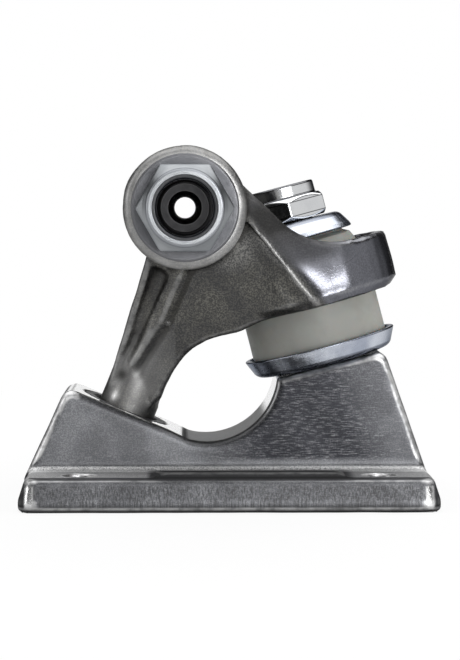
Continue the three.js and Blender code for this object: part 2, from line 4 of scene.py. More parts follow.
import bmesh
import bpy
import numpy as np
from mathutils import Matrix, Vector


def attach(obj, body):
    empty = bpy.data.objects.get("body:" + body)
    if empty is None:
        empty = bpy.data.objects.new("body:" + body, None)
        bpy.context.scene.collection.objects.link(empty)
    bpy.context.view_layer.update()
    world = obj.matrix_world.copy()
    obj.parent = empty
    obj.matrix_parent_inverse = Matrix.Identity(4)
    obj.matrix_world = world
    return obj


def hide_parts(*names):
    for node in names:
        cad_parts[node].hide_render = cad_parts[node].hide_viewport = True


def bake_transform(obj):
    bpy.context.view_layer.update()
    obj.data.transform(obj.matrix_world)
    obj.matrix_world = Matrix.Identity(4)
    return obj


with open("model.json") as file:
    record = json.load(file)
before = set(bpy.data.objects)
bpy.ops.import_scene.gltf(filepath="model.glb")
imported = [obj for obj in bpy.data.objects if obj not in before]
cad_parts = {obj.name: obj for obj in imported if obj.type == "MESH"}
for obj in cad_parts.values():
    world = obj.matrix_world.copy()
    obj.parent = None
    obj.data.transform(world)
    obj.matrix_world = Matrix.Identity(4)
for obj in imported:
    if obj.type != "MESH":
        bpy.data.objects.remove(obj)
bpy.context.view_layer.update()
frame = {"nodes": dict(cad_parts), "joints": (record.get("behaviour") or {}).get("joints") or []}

# Skateboard truck. Metres in Blender, millimetres in the dictionaries below
mm = 0.001
scene = bpy.context.scene
joints = {joint["name"]: joint for joint in frame["joints"]}
sides = {"left": -1, "right": 1}
print("frame loaded:", len(frame["nodes"]), "nodes")


# A vector over its own length
def unit(vector):
    vector = np.array(vector, float)
    return vector / np.linalg.norm(vector)


def jointPlace(name):
    return np.array(joints[name]["pos_m"]) / mm


def addObject(name, data):
    made = bpy.data.objects.new(name, data)
    scene.collection.objects.link(made)
    return made


# Lines that the round pieces turn about: a point in millimetres, the way out and the way up
kingpinSeat = (18.2, 0, 25)
kingpinUp = unit(joints["kingpin_nut_spin"]["axis"])
kingpinLine = {
    "origin": np.array(kingpinSeat), "out": np.array([kingpinUp[2], 0, -kingpinUp[0]]), "up": kingpinUp,
}
pivotTilt = math.radians(22.5)
pivotLine = {
    "origin": jointPlace("hanger_steer"), "out": np.array([math.cos(pivotTilt), 0, -math.sin(pivotTilt)]),
    "up": np.array([math.sin(pivotTilt), 0, math.cos(pivotTilt)]),
}
axlePoint = jointPlace("axle_nut_left_spin") * [1, 0, 1]
axleLines = {
    side: {"origin": axlePoint, "out": np.array([1, 0, 0]), "up": np.array([0, sign, 0])}
    for side, sign in sides.items()
}

# Camera, from the axle's vanishing point and the near end's size in the photograph
cameraLook = {
    "place": (-7.9, -460, 54), "focalPixels": 2456, "picture": (460, 660), "axlePixel": (185, 207.7),
    "sensor": 36,
}


# The lens is the focal length in pixels times the sensor over the picture's longer side.
# The camera looks along Y, turned by as much as the axle lies away from the picture's middle
def makeCamera(look):
    data = bpy.data.cameras.new("camera")
    data.sensor_width = look["sensor"]
    data.lens = look["focalPixels"] * look["sensor"] / look["picture"][1]
    camera = addObject("camera", data)
    camera.location = Vector(look["place"]) * mm
    pairs = zip(look["picture"], look["axlePixel"])
    right, down = [(size / 2 - pixel) / look["focalPixels"] for size, pixel in pairs]
    camera.rotation_euler = Vector((right, 1, -down)).to_track_quat("-Z", "Y").to_euler()
    scene.camera = camera


makeCamera(cameraLook)


# Node helpers. An input is a socket to link or a value to set
def setInputs(tree, node, inputs):
    for key, value in inputs.items():
        if isinstance(value, bpy.types.NodeSocket):
            tree.links.new(value, node.inputs[key])
        else:
            node.inputs[key].default_value = value


def addNode(tree, kind, inputs=None, **settings):
    node = tree.nodes.new(kind)
    for key, value in settings.items():
        setattr(node, key, value)
    setInputs(tree, node, inputs or {})
    return node


def mathNode(tree, operation, *values):
    return addNode(tree, "ShaderNodeMath", dict(enumerate(values)), operation=operation).outputs[0]


def times(tree, first, second):
    return mathNode(tree, "MULTIPLY", first, second)


def larger(tree, first, second):
    return mathNode(tree, "MAXIMUM", first, second)


def mixColor(tree, factor, first, second):
    inputs = {0: factor, 6: first, 7: second}
    return addNode(tree, "ShaderNodeMix", inputs, data_type="RGBA").outputs[2]


def mixValue(tree, factor, first, second):
    return addNode(tree, "ShaderNodeMix", {0: factor, 2: first, 3: second}).outputs[0]


def rangeNode(tree, value, low, high, start=0, end=1):
    inputs = {"Value": value, "From Min": low, "From Max": high, "To Min": start, "To Max": end}
    return addNode(tree, "ShaderNodeMapRange", inputs, interpolation_type="SMOOTHSTEP").outputs[0]


def noiseNode(tree, place, scale, detail, roughness=0.5):
    inputs = {"Vector": place, "Scale": scale, "Detail": detail, "Roughness": roughness}
    return addNode(tree, "ShaderNodeTexNoise", inputs).outputs["Fac"]


def attributeNode(tree, name):
    return addNode(tree, "ShaderNodeAttribute", attribute_name=name).outputs["Fac"]


def objectPlace(tree):
    return addNode(tree, "ShaderNodeTexCoord").outputs["Object"]


def makeGroup(name, inputs, outputs):
    tree = bpy.data.node_groups.new(name, "ShaderNodeTree")
    for label, value in inputs.items():
        socket = tree.interface.new_socket(label, in_out="INPUT", socket_type="NodeSocketFloat")
        socket.default_value = value
    for label in outputs:
        tree.interface.new_socket(label, in_out="OUTPUT", socket_type="NodeSocketFloat")
    return tree, tree.nodes.new("NodeGroupInput").outputs, tree.nodes.new("NodeGroupOutput")


def useGroup(tree, group, inputs=None):
    node = tree.nodes.new("ShaderNodeGroup")
    node.node_tree = group
    setInputs(tree, node, inputs or {})
    return node.outputs


# Fine grain of a cast or forged surface, and slow patches of tone under it, in object coordinates
grainLook = {"Scale": 900.0, "Spread": 5.0, "fineRoughness": 0.6, "mottle": (0.35, 0.68)}


def makeGrainGroup(look):
    inputs = {key: look[key] for key in ("Scale", "Spread")}
    tree, given, out = makeGroup("castGrain", inputs, ["Grain", "Mottle"])
    place = objectPlace(tree)
    fine = noiseNode(tree, place, given["Scale"], 2.0, look["fineRoughness"])
    coarse = noiseNode(tree, place, mathNode(tree, "DIVIDE", given["Scale"], given["Spread"]), 3.0)
    setInputs(tree, out, {"Grain": fine, "Mottle": rangeNode(tree, coarse, *look["mottle"])})
    return tree


# Thin marks drawn out along one axis of the object
scratchLook = {"Along X": 30.0, "Along Y": 900.0, "Along Z": 900.0, "Low": 0.6, "High": 0.72}


def makeScratchGroup(look):
    tree, given, out = makeGroup("scratches", look, ["Marks", "Lines"])
    lengths = {k: given["Along " + axis] for k, axis in enumerate("XYZ")}
    stretch = addNode(tree, "ShaderNodeCombineXYZ", lengths)
    scaledInputs = {0: objectPlace(tree), 1: stretch.outputs[0]}
    scaled = addNode(tree, "ShaderNodeVectorMath", scaledInputs, operation="MULTIPLY")
    lines = noiseNode(tree, scaled.outputs[0], 1.0, 3.0)
    setInputs(tree, out, {"Marks": rangeNode(tree, lines, given["Low"], given["High"]), "Lines": lines})
    return tree


# Rubbed edges, worn bright and also lit with a painted edge highlight, and darker hollows, from the piece's
# own edge and hollow values
wearLook = {"breakUp": 500.0, "uneven": (0.3, 0.62, 0.35, 1), "edge": (0.26, 0.6), "hollow": (0.1, 0.9)}


def makeWearGroup(look):
    tree, given, out = makeGroup("edgeWear", {"Break up": look["breakUp"]}, ["RubbedAndHighlit", "Hollows"])
    noise = noiseNode(tree, objectPlace(tree), given["Break up"], 3.0)
    edge = rangeNode(tree, attributeNode(tree, "edge"), *look["edge"])
    # edges worn bright, with a painted highlight along them
    rubbedAndHighlit = times(tree, edge, rangeNode(tree, noise, *look["uneven"]))
    hollow = rangeNode(tree, attributeNode(tree, "hollow"), *look["hollow"])
    setInputs(tree, out, {"RubbedAndHighlit": rubbedAndHighlit, "Hollows": hollow})
    return tree


# Turning marks round a lathe-made piece, from its own UV map: U runs round it and V along its section
turningLook = {"Lines": 300.0, "round": 3.0}


def makeTurningGroup(look):
    tree, given, out = makeGroup("turningMarks", {"Lines": look["Lines"]}, ["Marks"])
    place = addNode(tree, "ShaderNodeUVMap").outputs[0]
    parts = addNode(tree, "ShaderNodeSeparateXYZ", {0: place}).outputs
    scaledInputs = {0: look["round"], 1: times(tree, parts[1], given["Lines"])}
    scaled = addNode(tree, "ShaderNodeCombineXYZ", scaledInputs)
    setInputs(tree, out, {"Marks": noiseNode(tree, scaled.outputs[0], 1.0, 2.0)})
    return tree


grainGroup = makeGrainGroup(grainLook)
scratchGroup = makeScratchGroup(scratchLook)
wearGroup = makeWearGroup(wearLook)
turningGroup = makeTurningGroup(turningLook)


def makeMaterial(name):
    material = bpy.data.materials.new(name)
    material.use_nodes = True
    tree = material.node_tree
    return material, tree, tree.nodes["Principled BSDF"]


def bumpNode(tree, height, distance, normal=None):
    inputs = {"Height": height, "Distance": distance * mm}
    if normal is not None:
        inputs["Normal"] = normal
    return addNode(tree, "ShaderNodeBump", inputs).outputs[0]


# Sand-cast aluminium, tumbled bright on its edges and machined on some faces, with painted highlights and
# painted shade in places
castLooks = {
    "baseplate": {
        "color": (0.069, 0.070, 0.075, 1), "mottle": (0.100, 0.102, 0.109, 1),
        "speck": (0.215, 0.217, 0.223, 1), "burnish": (0.015, 0.0155, 0.018, 1),
        "burnishSpeck": (0.070, 0.071, 0.076, 1), "bright": (0.80, 0.80, 0.80, 1),
        "darkMarkAndShade": (0.035, 0.035, 0.036, 1), "turned": (0.12, 0.12, 0.12, 1), "rim": (0.5, 0.5, 0.5, 1),
        "roughness": (0.34, 0.50), "burnishRoughness": 0.34, "machinedAndHighlightRoughness": 0.16,
        "bareAndHighlightRoughness": 0.6, "bareAndHighlightBright": 0.95, "grainScale": 4300.0, "patchSpread": 28.0,
        "grainDepth": 0.014, "speckAmount": (0.3, 0.55), "hollowDarkening": 0.12, "rubbedAndHighlit": 0.75, "scratched": 0.05,
        "streaked": 0.9,
    },
    "hanger": {
        "color": (0.050, 0.050, 0.051, 1), "mottle": (0.060, 0.0595, 0.057, 1),
        "speck": (0.235, 0.228, 0.200, 1), "burnish": (0.112, 0.115, 0.130, 1),
        "burnishSpeck": (0.155, 0.158, 0.178, 1), "bright": (0.55, 0.55, 0.55, 1),
        "darkMarkAndShade": (0.026, 0.025, 0.023, 1), "turned": (0.085, 0.085, 0.086, 1), "rim": (0.4, 0.4, 0.4, 1),
        "roughness": (0.36, 0.5), "burnishRoughness": 0.24, "machinedAndHighlightRoughness": 0.3,
        "bareAndHighlightRoughness": 0.42, "bareAndHighlightBright": 0.17, "grainScale": 3600.0, "patchSpread": 22.0,
        "grainDepth": 0.012, "speckAmount": (0.2, 0.5), "hollowDarkening": 0.7, "rubbedAndHighlit": 0.22, "scratched": 0.1,
        "streaked": 0.0,
    },
}
# What both castings share: how thin marks run, and at which values of the noise each effect shows
castFinish = {
    "across": {"Along X": 650.0, "Along Y": 5200.0, "Along Z": 5200.0, "Low": 0.56, "High": 0.74},
    "upright": {"Along X": 4600.0, "Along Y": 4600.0, "Along Z": 110.0, "Low": 0.36, "High": 0.66},
    "specks": (0.43, 0.63), "fine": (0.42, 0.68), "streaks": (0.38, 0.62, 0.2, 1),
    "patchy": (0.36, 0.58, 0.3, 1), "brushing": 0.75, "calm": 0.8, "scratchDepth": -0.008,
    "shadeRoughness": 0.9,
}
grainSpan = (0.3, 0.7)  # the fine grain's usual values
white = (1, 1, 1, 1)


def castMaterial(name, look, finish):
    material, tree, shader = makeMaterial(name)
    grain = useGroup(tree, grainGroup, {"Scale": look["grainScale"], "Spread": look["patchSpread"]})
    across = useGroup(tree, scratchGroup, finish["across"])
    upright = useGroup(tree, scratchGroup, finish["upright"])
    wear = useGroup(tree, wearGroup)
    names = ("burnish", "machinedAndHighlight", "brushed", "bareAndHighlight", "turned", "shade")
    burnish, machinedAndHighlight, brushed, bareAndHighlight, turned, shade = [attributeNode(tree, key) for key in names]
    patches = larger(tree, grain["Mottle"], larger(tree, bareAndHighlight, turned))
    specks = rangeNode(tree, grain["Grain"], *finish["specks"])
    fine = mixValue(tree, look["streaked"], 1.0, rangeNode(tree, across["Lines"], *finish["fine"]))
    streaks = times(tree, rangeNode(tree, grain["Grain"], *finish["streaks"]), fine)
    patchy = times(tree, rangeNode(tree, grain["Grain"], *finish["patchy"]), look["bareAndHighlightBright"])
    layers = [
        (grain["Mottle"], look["mottle"]),
        (turned, look["turned"]),
        (times(tree, specks, mixValue(tree, patches, *look["speckAmount"])), look["speck"]),
        (burnish, mixColor(tree, streaks, look["burnish"], look["burnishSpeck"])),
        # bare metal and painted highlights: bright speckled patches where the attribute says
        (times(tree, bareAndHighlight, patchy), look["bright"]),
        (times(tree, brushed, times(tree, upright["Marks"], finish["brushing"])), look["darkMarkAndShade"]),
        (times(tree, across["Marks"], look["scratched"]), look["bright"]),
        # darker in hollows
        (times(tree, wear["Hollows"], look["hollowDarkening"]), look["darkMarkAndShade"]),
        (machinedAndHighlight, look["bright"]),
        # worn edges and their painted highlight
        (times(tree, wear["RubbedAndHighlit"], look["rubbedAndHighlit"]), look["bright"]),
        # painted shade: the shade attribute darkens the surface to this tone where shadow falls
        (shade, look["darkMarkAndShade"]),
    ]
    color = look["color"]
    for factor, tone in layers:
        color = mixColor(tree, factor, color, tone)
    roughness = rangeNode(tree, grain["Grain"], *grainSpan, *look["roughness"])
    for factor, key in ((burnish, "burnish"), (bareAndHighlight, "bareAndHighlight"), (machinedAndHighlight, "machinedAndHighlight")):
        roughness = mixValue(tree, factor, roughness, look[key + "Roughness"])
    roughness = mixValue(tree, shade, roughness, finish["shadeRoughness"])
    rim = mixColor(tree, larger(tree, machinedAndHighlight, bareAndHighlight), look["rim"], white)
    calm = times(tree, larger(tree, machinedAndHighlight, burnish), finish["calm"])
    height = times(tree, grain["Grain"], mathNode(tree, "SUBTRACT", 1.0, calm))
    normal = bumpNode(tree, height, look["grainDepth"])
    normal = bumpNode(tree, times(tree, upright["Lines"], brushed), look["grainDepth"], normal)
    normal = bumpNode(tree, across["Marks"], finish["scratchDepth"], normal)
    inputs = {"Base Color": color, "Roughness": roughness, "Metallic": 1.0, "Specular Tint": rim}
    setInputs(tree, shader, {**inputs, "Normal": normal})
    return material


# Plated and bare steel, with turning marks, a faint unevenness and a painted tone on its edges: dark outlines
# of painted shade on the chrome, zinc and nut steel rims, lighter edges on the others
steelLooks = {
    "zinc": {
        "color": (0.57, 0.60, 0.66, 1), "tone": (0.33, 0.36, 0.43, 1),
        "paintedEdgeTone": (0.05, 0.055, 0.075, 1), "edges": 0.6, "roughness": (0.16, 0.30), "depth": 0.012,
    },
    "chrome": {
        "color": (0.66, 0.67, 0.68, 1), "tone": (0.55, 0.56, 0.58, 1), "paintedEdgeTone": (0.05, 0.05, 0.055, 1),
        "edges": 0.85, "roughness": (0.06, 0.13), "depth": 0.005,
    },
    "dullZinc": {
        "color": (0.115, 0.117, 0.124, 1), "tone": (0.085, 0.087, 0.094, 1),
        "paintedEdgeTone": (0.2, 0.2, 0.21, 1), "edges": 0.25, "roughness": (0.34, 0.46), "depth": 0.016,
    },
    "nutSteel": {
        "color": (0.29, 0.30, 0.31, 1), "tone": (0.21, 0.22, 0.23, 1), "paintedEdgeTone": (0.24, 0.25, 0.27, 1),
        "edges": 0.6, "roughness": (0.3, 0.42), "depth": 0.012,
    },
    "axleSteel": {
        "color": (0.016, 0.016, 0.0165, 1), "tone": (0.028, 0.028, 0.029, 1),
        "paintedEdgeTone": (0.08, 0.08, 0.08, 1), "edges": 0.5, "roughness": (0.42, 0.55), "depth": 0.02,
    },
    "kingpinSteel": {
        "color": (0.22, 0.22, 0.23, 1), "tone": (0.12, 0.12, 0.12, 1), "paintedEdgeTone": (0.3, 0.3, 0.3, 1),
        "edges": 0.3, "roughness": (0.25, 0.4), "depth": 0.02,
    },
}
steelGrain = 700.0
rimTone = (0.35, 0.36, 0.38, 1)  # what a metal reflects where it turns away


def steelMaterial(name, look):
    material, tree, shader = makeMaterial(name)
    grain = useGroup(tree, grainGroup, {"Scale": steelGrain})
    color = mixColor(tree, grain["Mottle"], look["color"], look["tone"])
    edges = times(tree, attributeNode(tree, "bend"), look["edges"])
    normal = bumpNode(tree, useGroup(tree, turningGroup)["Marks"], look["depth"])
    setInputs(tree, shader, {
        # painted edge tone on the rounded edges and rims
        "Base Color": mixColor(tree, edges, color, look["paintedEdgeTone"]),
        "Roughness": rangeNode(tree, grain["Grain"], *grainSpan, *look["roughness"]),
        "Metallic": 1.0,
        "Specular Tint": rimTone,
        "Normal": bumpNode(tree, grain["Grain"], look["depth"], normal),
    })
    return material


# Poured urethane and moulded plastics
plasticLooks = {
    "urethane": {
        "color": (0.28, 0.282, 0.26, 1), "tone": (0.25, 0.252, 0.231, 1), "roughness": (0.5, 0.62),
        "glow": 0.25,
    },
    "cupPlastic": {
        "color": (0.012, 0.012, 0.014, 1), "tone": (0.03, 0.03, 0.032, 1), "roughness": (0.35, 0.5),
        "glow": 0.0,
    },
    "nylon": {
        "color": (0.012, 0.014, 0.018, 1), "tone": (0.022, 0.025, 0.03, 1), "roughness": (0.35, 0.5),
        "glow": 0.0,
    },
}
plasticGrain = {"scale": 1100.0, "depth": 0.02, "glowDepth": 2}


def plasticMaterial(name, look):
    material, tree, shader = makeMaterial(name)
    grain = useGroup(tree, grainGroup, {"Scale": plasticGrain["scale"]})
    setInputs(tree, shader, {
        "Base Color": mixColor(tree, grain["Mottle"], look["color"], look["tone"]),
        "Roughness": rangeNode(tree, grain["Grain"], *grainSpan, *look["roughness"]),
        "Normal": bumpNode(tree, grain["Grain"], plasticGrain["depth"]),
        "Subsurface Weight": look["glow"],
        "Subsurface Scale": plasticGrain["glowDepth"] * mm,
    })
    return material


materials = {
    "baseplate": castMaterial("castBaseplate", castLooks["baseplate"], castFinish),
    "hanger": castMaterial("castHanger", castLooks["hanger"], castFinish),
}
materials.update({name: plasticMaterial(name, look) for name, look in plasticLooks.items()})
materials.update({name: steelMaterial(name, look) for name, look in steelLooks.items()})
print("materials:", len(materials))


# Profiles are pairs of radius and height. A corner with a rounding becomes an arc that touches both its
# lines, with a short flat beside it. The arc's middle lies on the bisector, at the reach of its ends over
# the cosine of half the angle, and its radius is that reach times the half angle's tangent
profileShape = {"mostReach": 0.47, "flat": 0.06, "flatShare": 0.02, "leastFlat": 0.001}


def roundedProfile(corners, steps=5):
    def flat(length):
        return min(profileShape["flat"], profileShape["flatShare"] * length + profileShape["leastFlat"])

    points = []
    for i, (radius, height, rounding) in enumerate(corners):
        here = np.array([radius, height], float)
        if rounding <= 0:
            points.append(here)
            continue
        back = np.array(corners[i - 1][:2]) - here
        on = np.array(corners[(i + 1) % len(corners)][:2]) - here
        backLength, onLength = np.linalg.norm(back), np.linalg.norm(on)
        back, on = back / backLength, on / onLength
        half = math.acos(np.clip(back @ on, -1, 1)) / 2
        reach = min(rounding / math.tan(half), profileShape["mostReach"] * min(backLength, onLength))
        middle = here + (back + on) / np.linalg.norm(back + on) * reach / math.cos(half)
        blend = np.linspace(0, 1, steps + 1)[:, None]
        ways = (here + back * reach - middle) * (1 - blend) + (here + on * reach - middle) * blend
        arc = middle + reach * math.tan(half) * ways / np.linalg.norm(ways, axis=1)[:, None]
        points.extend([here + back * (reach + flat(backLength)), *arc, here + on * (reach + flat(onLength))])
    return np.array(points)


# The same outline with no step longer than a given one
def densified(profile, step, closed=True):
    follow = np.vstack([profile, profile[:1]]) if closed else profile
    lengths = np.linalg.norm(np.diff(follow, axis=0), axis=1)
    places = np.concatenate([[0], np.cumsum(lengths)])
    counts = np.maximum(2, (lengths / step).astype(int) + 1)
    wanted = [np.linspace(a, b, count)[:-1] for a, b, count in zip(places[:-1], places[1:], counts)]
    wanted = np.concatenate(wanted + ([] if closed else [places[-1:]]))
    return np.stack([np.interp(wanted, places, follow[:, k]) for k in (0, 1)], axis=1)


# A mesh from a grid of points that closes on itself along its columns, and along its rows if asked.
# Its UV map runs in the same order, with V in centimetres along the profile
gridShape = {"uvUnit": 10, "weld": 0.002, "thinnest": 0.0005, "sharp": math.radians(38)}


def gridMesh(name, points, closeRows, profileLength, bend):
    rows, columns = points.shape[:2]
    rowCount = rows if closeRows else rows - 1
    i, j = np.meshgrid(np.arange(rowCount), np.arange(columns), indexing="ij")
    corners = [(i, j), (i, j + 1), (i + 1, j + 1), (i + 1, j)]
    faces = np.stack([(a % rows) * columns + b % columns for a, b in corners], axis=-1).reshape(-1, 4)
    places = np.stack([np.stack([b / columns, a / rowCount], axis=-1) for a, b in corners], axis=2)
    places[..., 1] *= profileLength / gridShape["uvUnit"]
    mesh = bpy.data.meshes.new(name)
    mesh.from_pydata((points.reshape(-1, 3) * mm).tolist(), [], faces.tolist())
    layer = mesh.uv_layers.new(name="UVMap")
    layer.data.foreach_set("uv", places.reshape(-1).astype(np.float32))
    tones = mesh.attributes.new("bend", "FLOAT", "POINT")
    tones.data.foreach_set("value", np.repeat(bend, columns).astype(np.float32))
    work = bmesh.new()
    work.from_mesh(mesh)
    bmesh.ops.remove_doubles(work, verts=work.verts, dist=gridShape["weld"] * mm)
    bmesh.ops.dissolve_degenerate(work, edges=work.edges, dist=gridShape["thinnest"] * mm)
    work.to_mesh(mesh)
    work.free()
    mesh.shade_smooth()
    mesh.set_sharp_from_angle(angle=gridShape["sharp"])
    return mesh


# How sharply a profile turns at each point: the angle that it turns by over a full one, at most 1.
# The angle is 180 degrees less the one between the ways back and on
fullTurn = math.radians(7)


def profileBend(profile, closed):
    back = np.roll(profile, 1, axis=0) - profile
    on = np.roll(profile, -1, axis=0) - profile
    sizes = np.maximum(np.linalg.norm(back, axis=1) * np.linalg.norm(on, axis=1), 1e-9)
    turn = math.pi - np.arccos(np.clip((back * on).sum(axis=1) / sizes, -1, 1))
    if not closed:
        turn[[0, -1]] = 0
    return np.clip(turn / fullTurn, 0, 1)


# Each point is the origin, plus the radius turned round the line, plus the height along it. A limit on the
# radius, such as a hexagon's, is met with a rounding that fades as e to the minus the gap over its size
limitShape = {"rounding": 0.12, "core": 1}


def turnedPiece(node, profile, line, material, body=None, segments=96, limit=None, closed=True, thread=None):
    name = node + "_dressed"
    turn = np.arange(segments) * 2 * np.pi / segments
    radius = np.repeat(profile[:, :1], segments, axis=1)
    height = profile[:, 1:]
    if thread is not None:
        radius = radius + thread(turn[None, :], height, radius)
    if limit is not None:
        bound = limit(turn)[None, :]
        size = limitShape["rounding"]
        inset = size * np.exp(-np.abs(radius - bound) / size) * (radius > limitShape["core"])
        radius = np.minimum(radius, bound) - inset
    side = np.cross(line["up"], line["out"])
    around = np.cos(turn)[None, :, None] * line["out"] + np.sin(turn)[None, :, None] * side
    points = line["origin"] + radius[:, :, None] * around + height[:, :, None] * line["up"]
    length = np.linalg.norm(np.diff(profile, axis=0), axis=1).sum()
    mesh = gridMesh(name, points, closed, length, profileBend(profile, closed))
    mesh.materials.append(materials[material])
    piece = addObject(name, mesh)
    finishPiece(piece, node, body)
    return piece


# A hexagon's radius at each angle: half its width across the flats over the cosine of the angle from a flat
def hexagon(across, cornerAngle):
    sixth = math.pi / 3
    return lambda turn: across / 2 / np.cos(np.mod(turn - cornerAngle, sixth) - sixth / 2)


# A thread: the radius falls by a triangle wave of the height less the turn's share of the pitch. It fades
# in over one pitch and out over half of one, and leaves a radius under the least one alone
def threadCut(start, end, pitch, depth, least):
    def cut(turn, height, radius):
        wave = np.abs(np.mod(height / pitch - turn / (2 * math.pi), 1) * 2 - 1)
        fade = np.clip((height - start) / pitch, 0, 1) * np.clip((end - height) / pitch * 2, 0, 1)
        return -depth * wave * fade * (radius > least)
    return cut


def finishPiece(piece, node, body=None):
    if body is not None:
        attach(piece, body)
    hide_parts(node)


# Cup washers: a floor, a flared wall and a thin lip turned out. Heights run up the kingpin from its seat
kingpinBore = 5.01
washers = {
    "bottom_washer": {"foot": 0.25, "way": 1, "radius": 14.4, "rim": 3.5, "flare": 1.6, "body": "base"},
    "top_washer": {"foot": 26.95, "way": -1, "radius": 11.5, "rim": 3.2, "flare": 1.9, "body": "top_washer"},
}
washerSheet = {"thickness": 1.5, "lipShare": 0.6, "flareShare": 0.6, "wallInset": 0.4}


def washerProfile(look, sheet):
    radius, rim, flare, thickness = look["radius"], look["rim"], look["flare"], sheet["thickness"]
    lip = thickness * sheet["lipShare"]
    corners = [
        (kingpinBore, 0, 0.2), (radius - flare, 0, 1.7), (radius - sheet["wallInset"], rim - lip, 0.9),
        (radius, rim, 0.22), (radius - lip, rim, 0.3),
        (radius - thickness - flare * sheet["flareShare"], thickness, 1.1), (kingpinBore, thickness, 0.2),
    ]
    profile = roundedProfile(corners, steps=8)
    profile[:, 1] = look["foot"] + look["way"] * profile[:, 1]
    return profile if look["way"] > 0 else profile[::-1]


for name, look in washers.items():
    turnedPiece(name, washerProfile(look, washerSheet), kingpinLine, "zinc", look["body"], 160)

# Bushings: poured rings. The top one leaves room for its washer to come down
bushings = {
    "bottom_bushing": {
        "corners": [(kingpinBore, 2.0, 0), (12.7, 2.0, 1.9), (12.7, 13.4, 1.9), (kingpinBore, 13.4, 0)],
        "ends": (2.0, 13.4), "blend": ("base", "hanger"),
    },
    "top_bushing": {
        "corners": [
            (kingpinBore, 16.9, 0), (12, 16.9, 1.4), (12, 20.3, 1.2), (10.8, 22.8, 0.8), (9.6, 23.4, 0.3),
            (8.6, 24.75, 0.6), (kingpinBore, 24.75, 0),
        ],
        "ends": (24.75, 16.9), "blend": ("base", "hanger"),
    },
}
bushingStep = 0.6
for name, look in bushings.items():
    profile = densified(roundedProfile(look["corners"], steps=8), bushingStep)
    piece = turnedPiece(name, profile, kingpinLine, "urethane", segments=144)
    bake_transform(piece)

# Kingpin: a hexagon head below, a plain shank and a threaded end
kingpinLook = {
    "radius": 4.76, "headAcross": 14.29, "headFoot": -23.27, "headHeight": 5.4, "headFaceShare": 0.47,
    "headChamfer": 1.1, "tip": 33.5, "tipChamfer": 0.8, "coreDepth": 0.9, "threadLength": 9,
    "pitch": 1.06, "depth": 0.5, "step": 0.16,
}


def makeKingpin(look):
    radius, tip, foot = look["radius"], look["tip"], look["headFoot"]
    corner = look["headAcross"] / 2 / math.cos(math.pi / 6)
    headTop, threadStart = foot + look["headHeight"], tip - look["threadLength"]
    corners = [
        (0, foot, 0), (look["headAcross"] * look["headFaceShare"], foot, 0.2),
        (corner, foot + look["headChamfer"], 0.3), (corner, headTop, 0.15), (radius, headTop, 0.4),
        (radius, tip - look["tipChamfer"], 0.1), (radius - look["tipChamfer"], tip, 0.1), (0, tip, 0),
    ]
    dense = densified(roundedProfile(corners), look["step"], closed=False)
    profile = dense[(dense[:, 1] < headTop) | (dense[:, 1] > threadStart)]  # the shank needs no steps
    thread = threadCut(threadStart, tip, look["pitch"], look["depth"], radius - look["coreDepth"])
    flats = hexagon(look["headAcross"], math.radians(30))
    turnedPiece("kingpin", profile, kingpinLine, "kingpinSteel", "base",
                limit=flats, closed=False, thread=thread)


makeKingpin(kingpinLook)

# Pivot cup: a black liner with a thin rim round the stem. Heights run up the pivot line from the ball
cupLook = {
    "mouthRadius": 8, "floorRadius": 6.4, "floor": -6.9, "mouth": 6.65, "ballSeat": 5.5, "neck": 6.25,
    "bowlSteps": 14,
}


# The bowl is a quarter circle from the ball's widest place down to its foot
def makePivotCup(look):
    corners = [
        (0, look["floor"], 0), (look["floorRadius"], look["floor"], 2),
        (look["mouthRadius"], look["mouth"], 0.25), (look["neck"], look["mouth"], 0.4),
        (look["ballSeat"], 0, 0),
    ]
    outer = roundedProfile(corners, steps=6)[:-1]
    turn = np.linspace(0, -math.pi / 2, look["bowlSteps"])
    bowl = look["ballSeat"] * np.stack([np.cos(turn), np.sin(turn)], axis=1)
    bowl[-1, 0] = 0
    profile = np.vstack([outer, bowl])
    turnedPiece("pivot_cup", profile, pivotLine, "cupPlastic", "base", closed=False)


makePivotCup(cupLook)

# Lock nuts: a chamfered hexagon, a rolled collar and a plastic ring inside it
kingpinNut = {
    "foot": 27.2, "across": 14.29, "height": 4.3, "collarRadius": 6.4, "shaft": 4.76,
    "corner": math.radians(34.5), "finish": "chrome", "cone": 0.1, "chamfer": 0.75,
}
axleNut = {
    "foot": 98.6, "across": 12.7, "height": 5, "collarRadius": 5.7, "shaft": 3.97, "corner": 0.0,
    "finish": "nutSteel", "cone": 0.7, "chamfer": 1.1,
}
nutCollar = {"height": 2.4, "wall": 0.45, "gap": 0.25, "lip": 0.3, "lipReach": 0.8}
nutShape = {"entry": (0.4, 0.3), "flatInset": 0.1, "collarInset": 0.05, "rimRounding": 1.6, "step": 0.2}


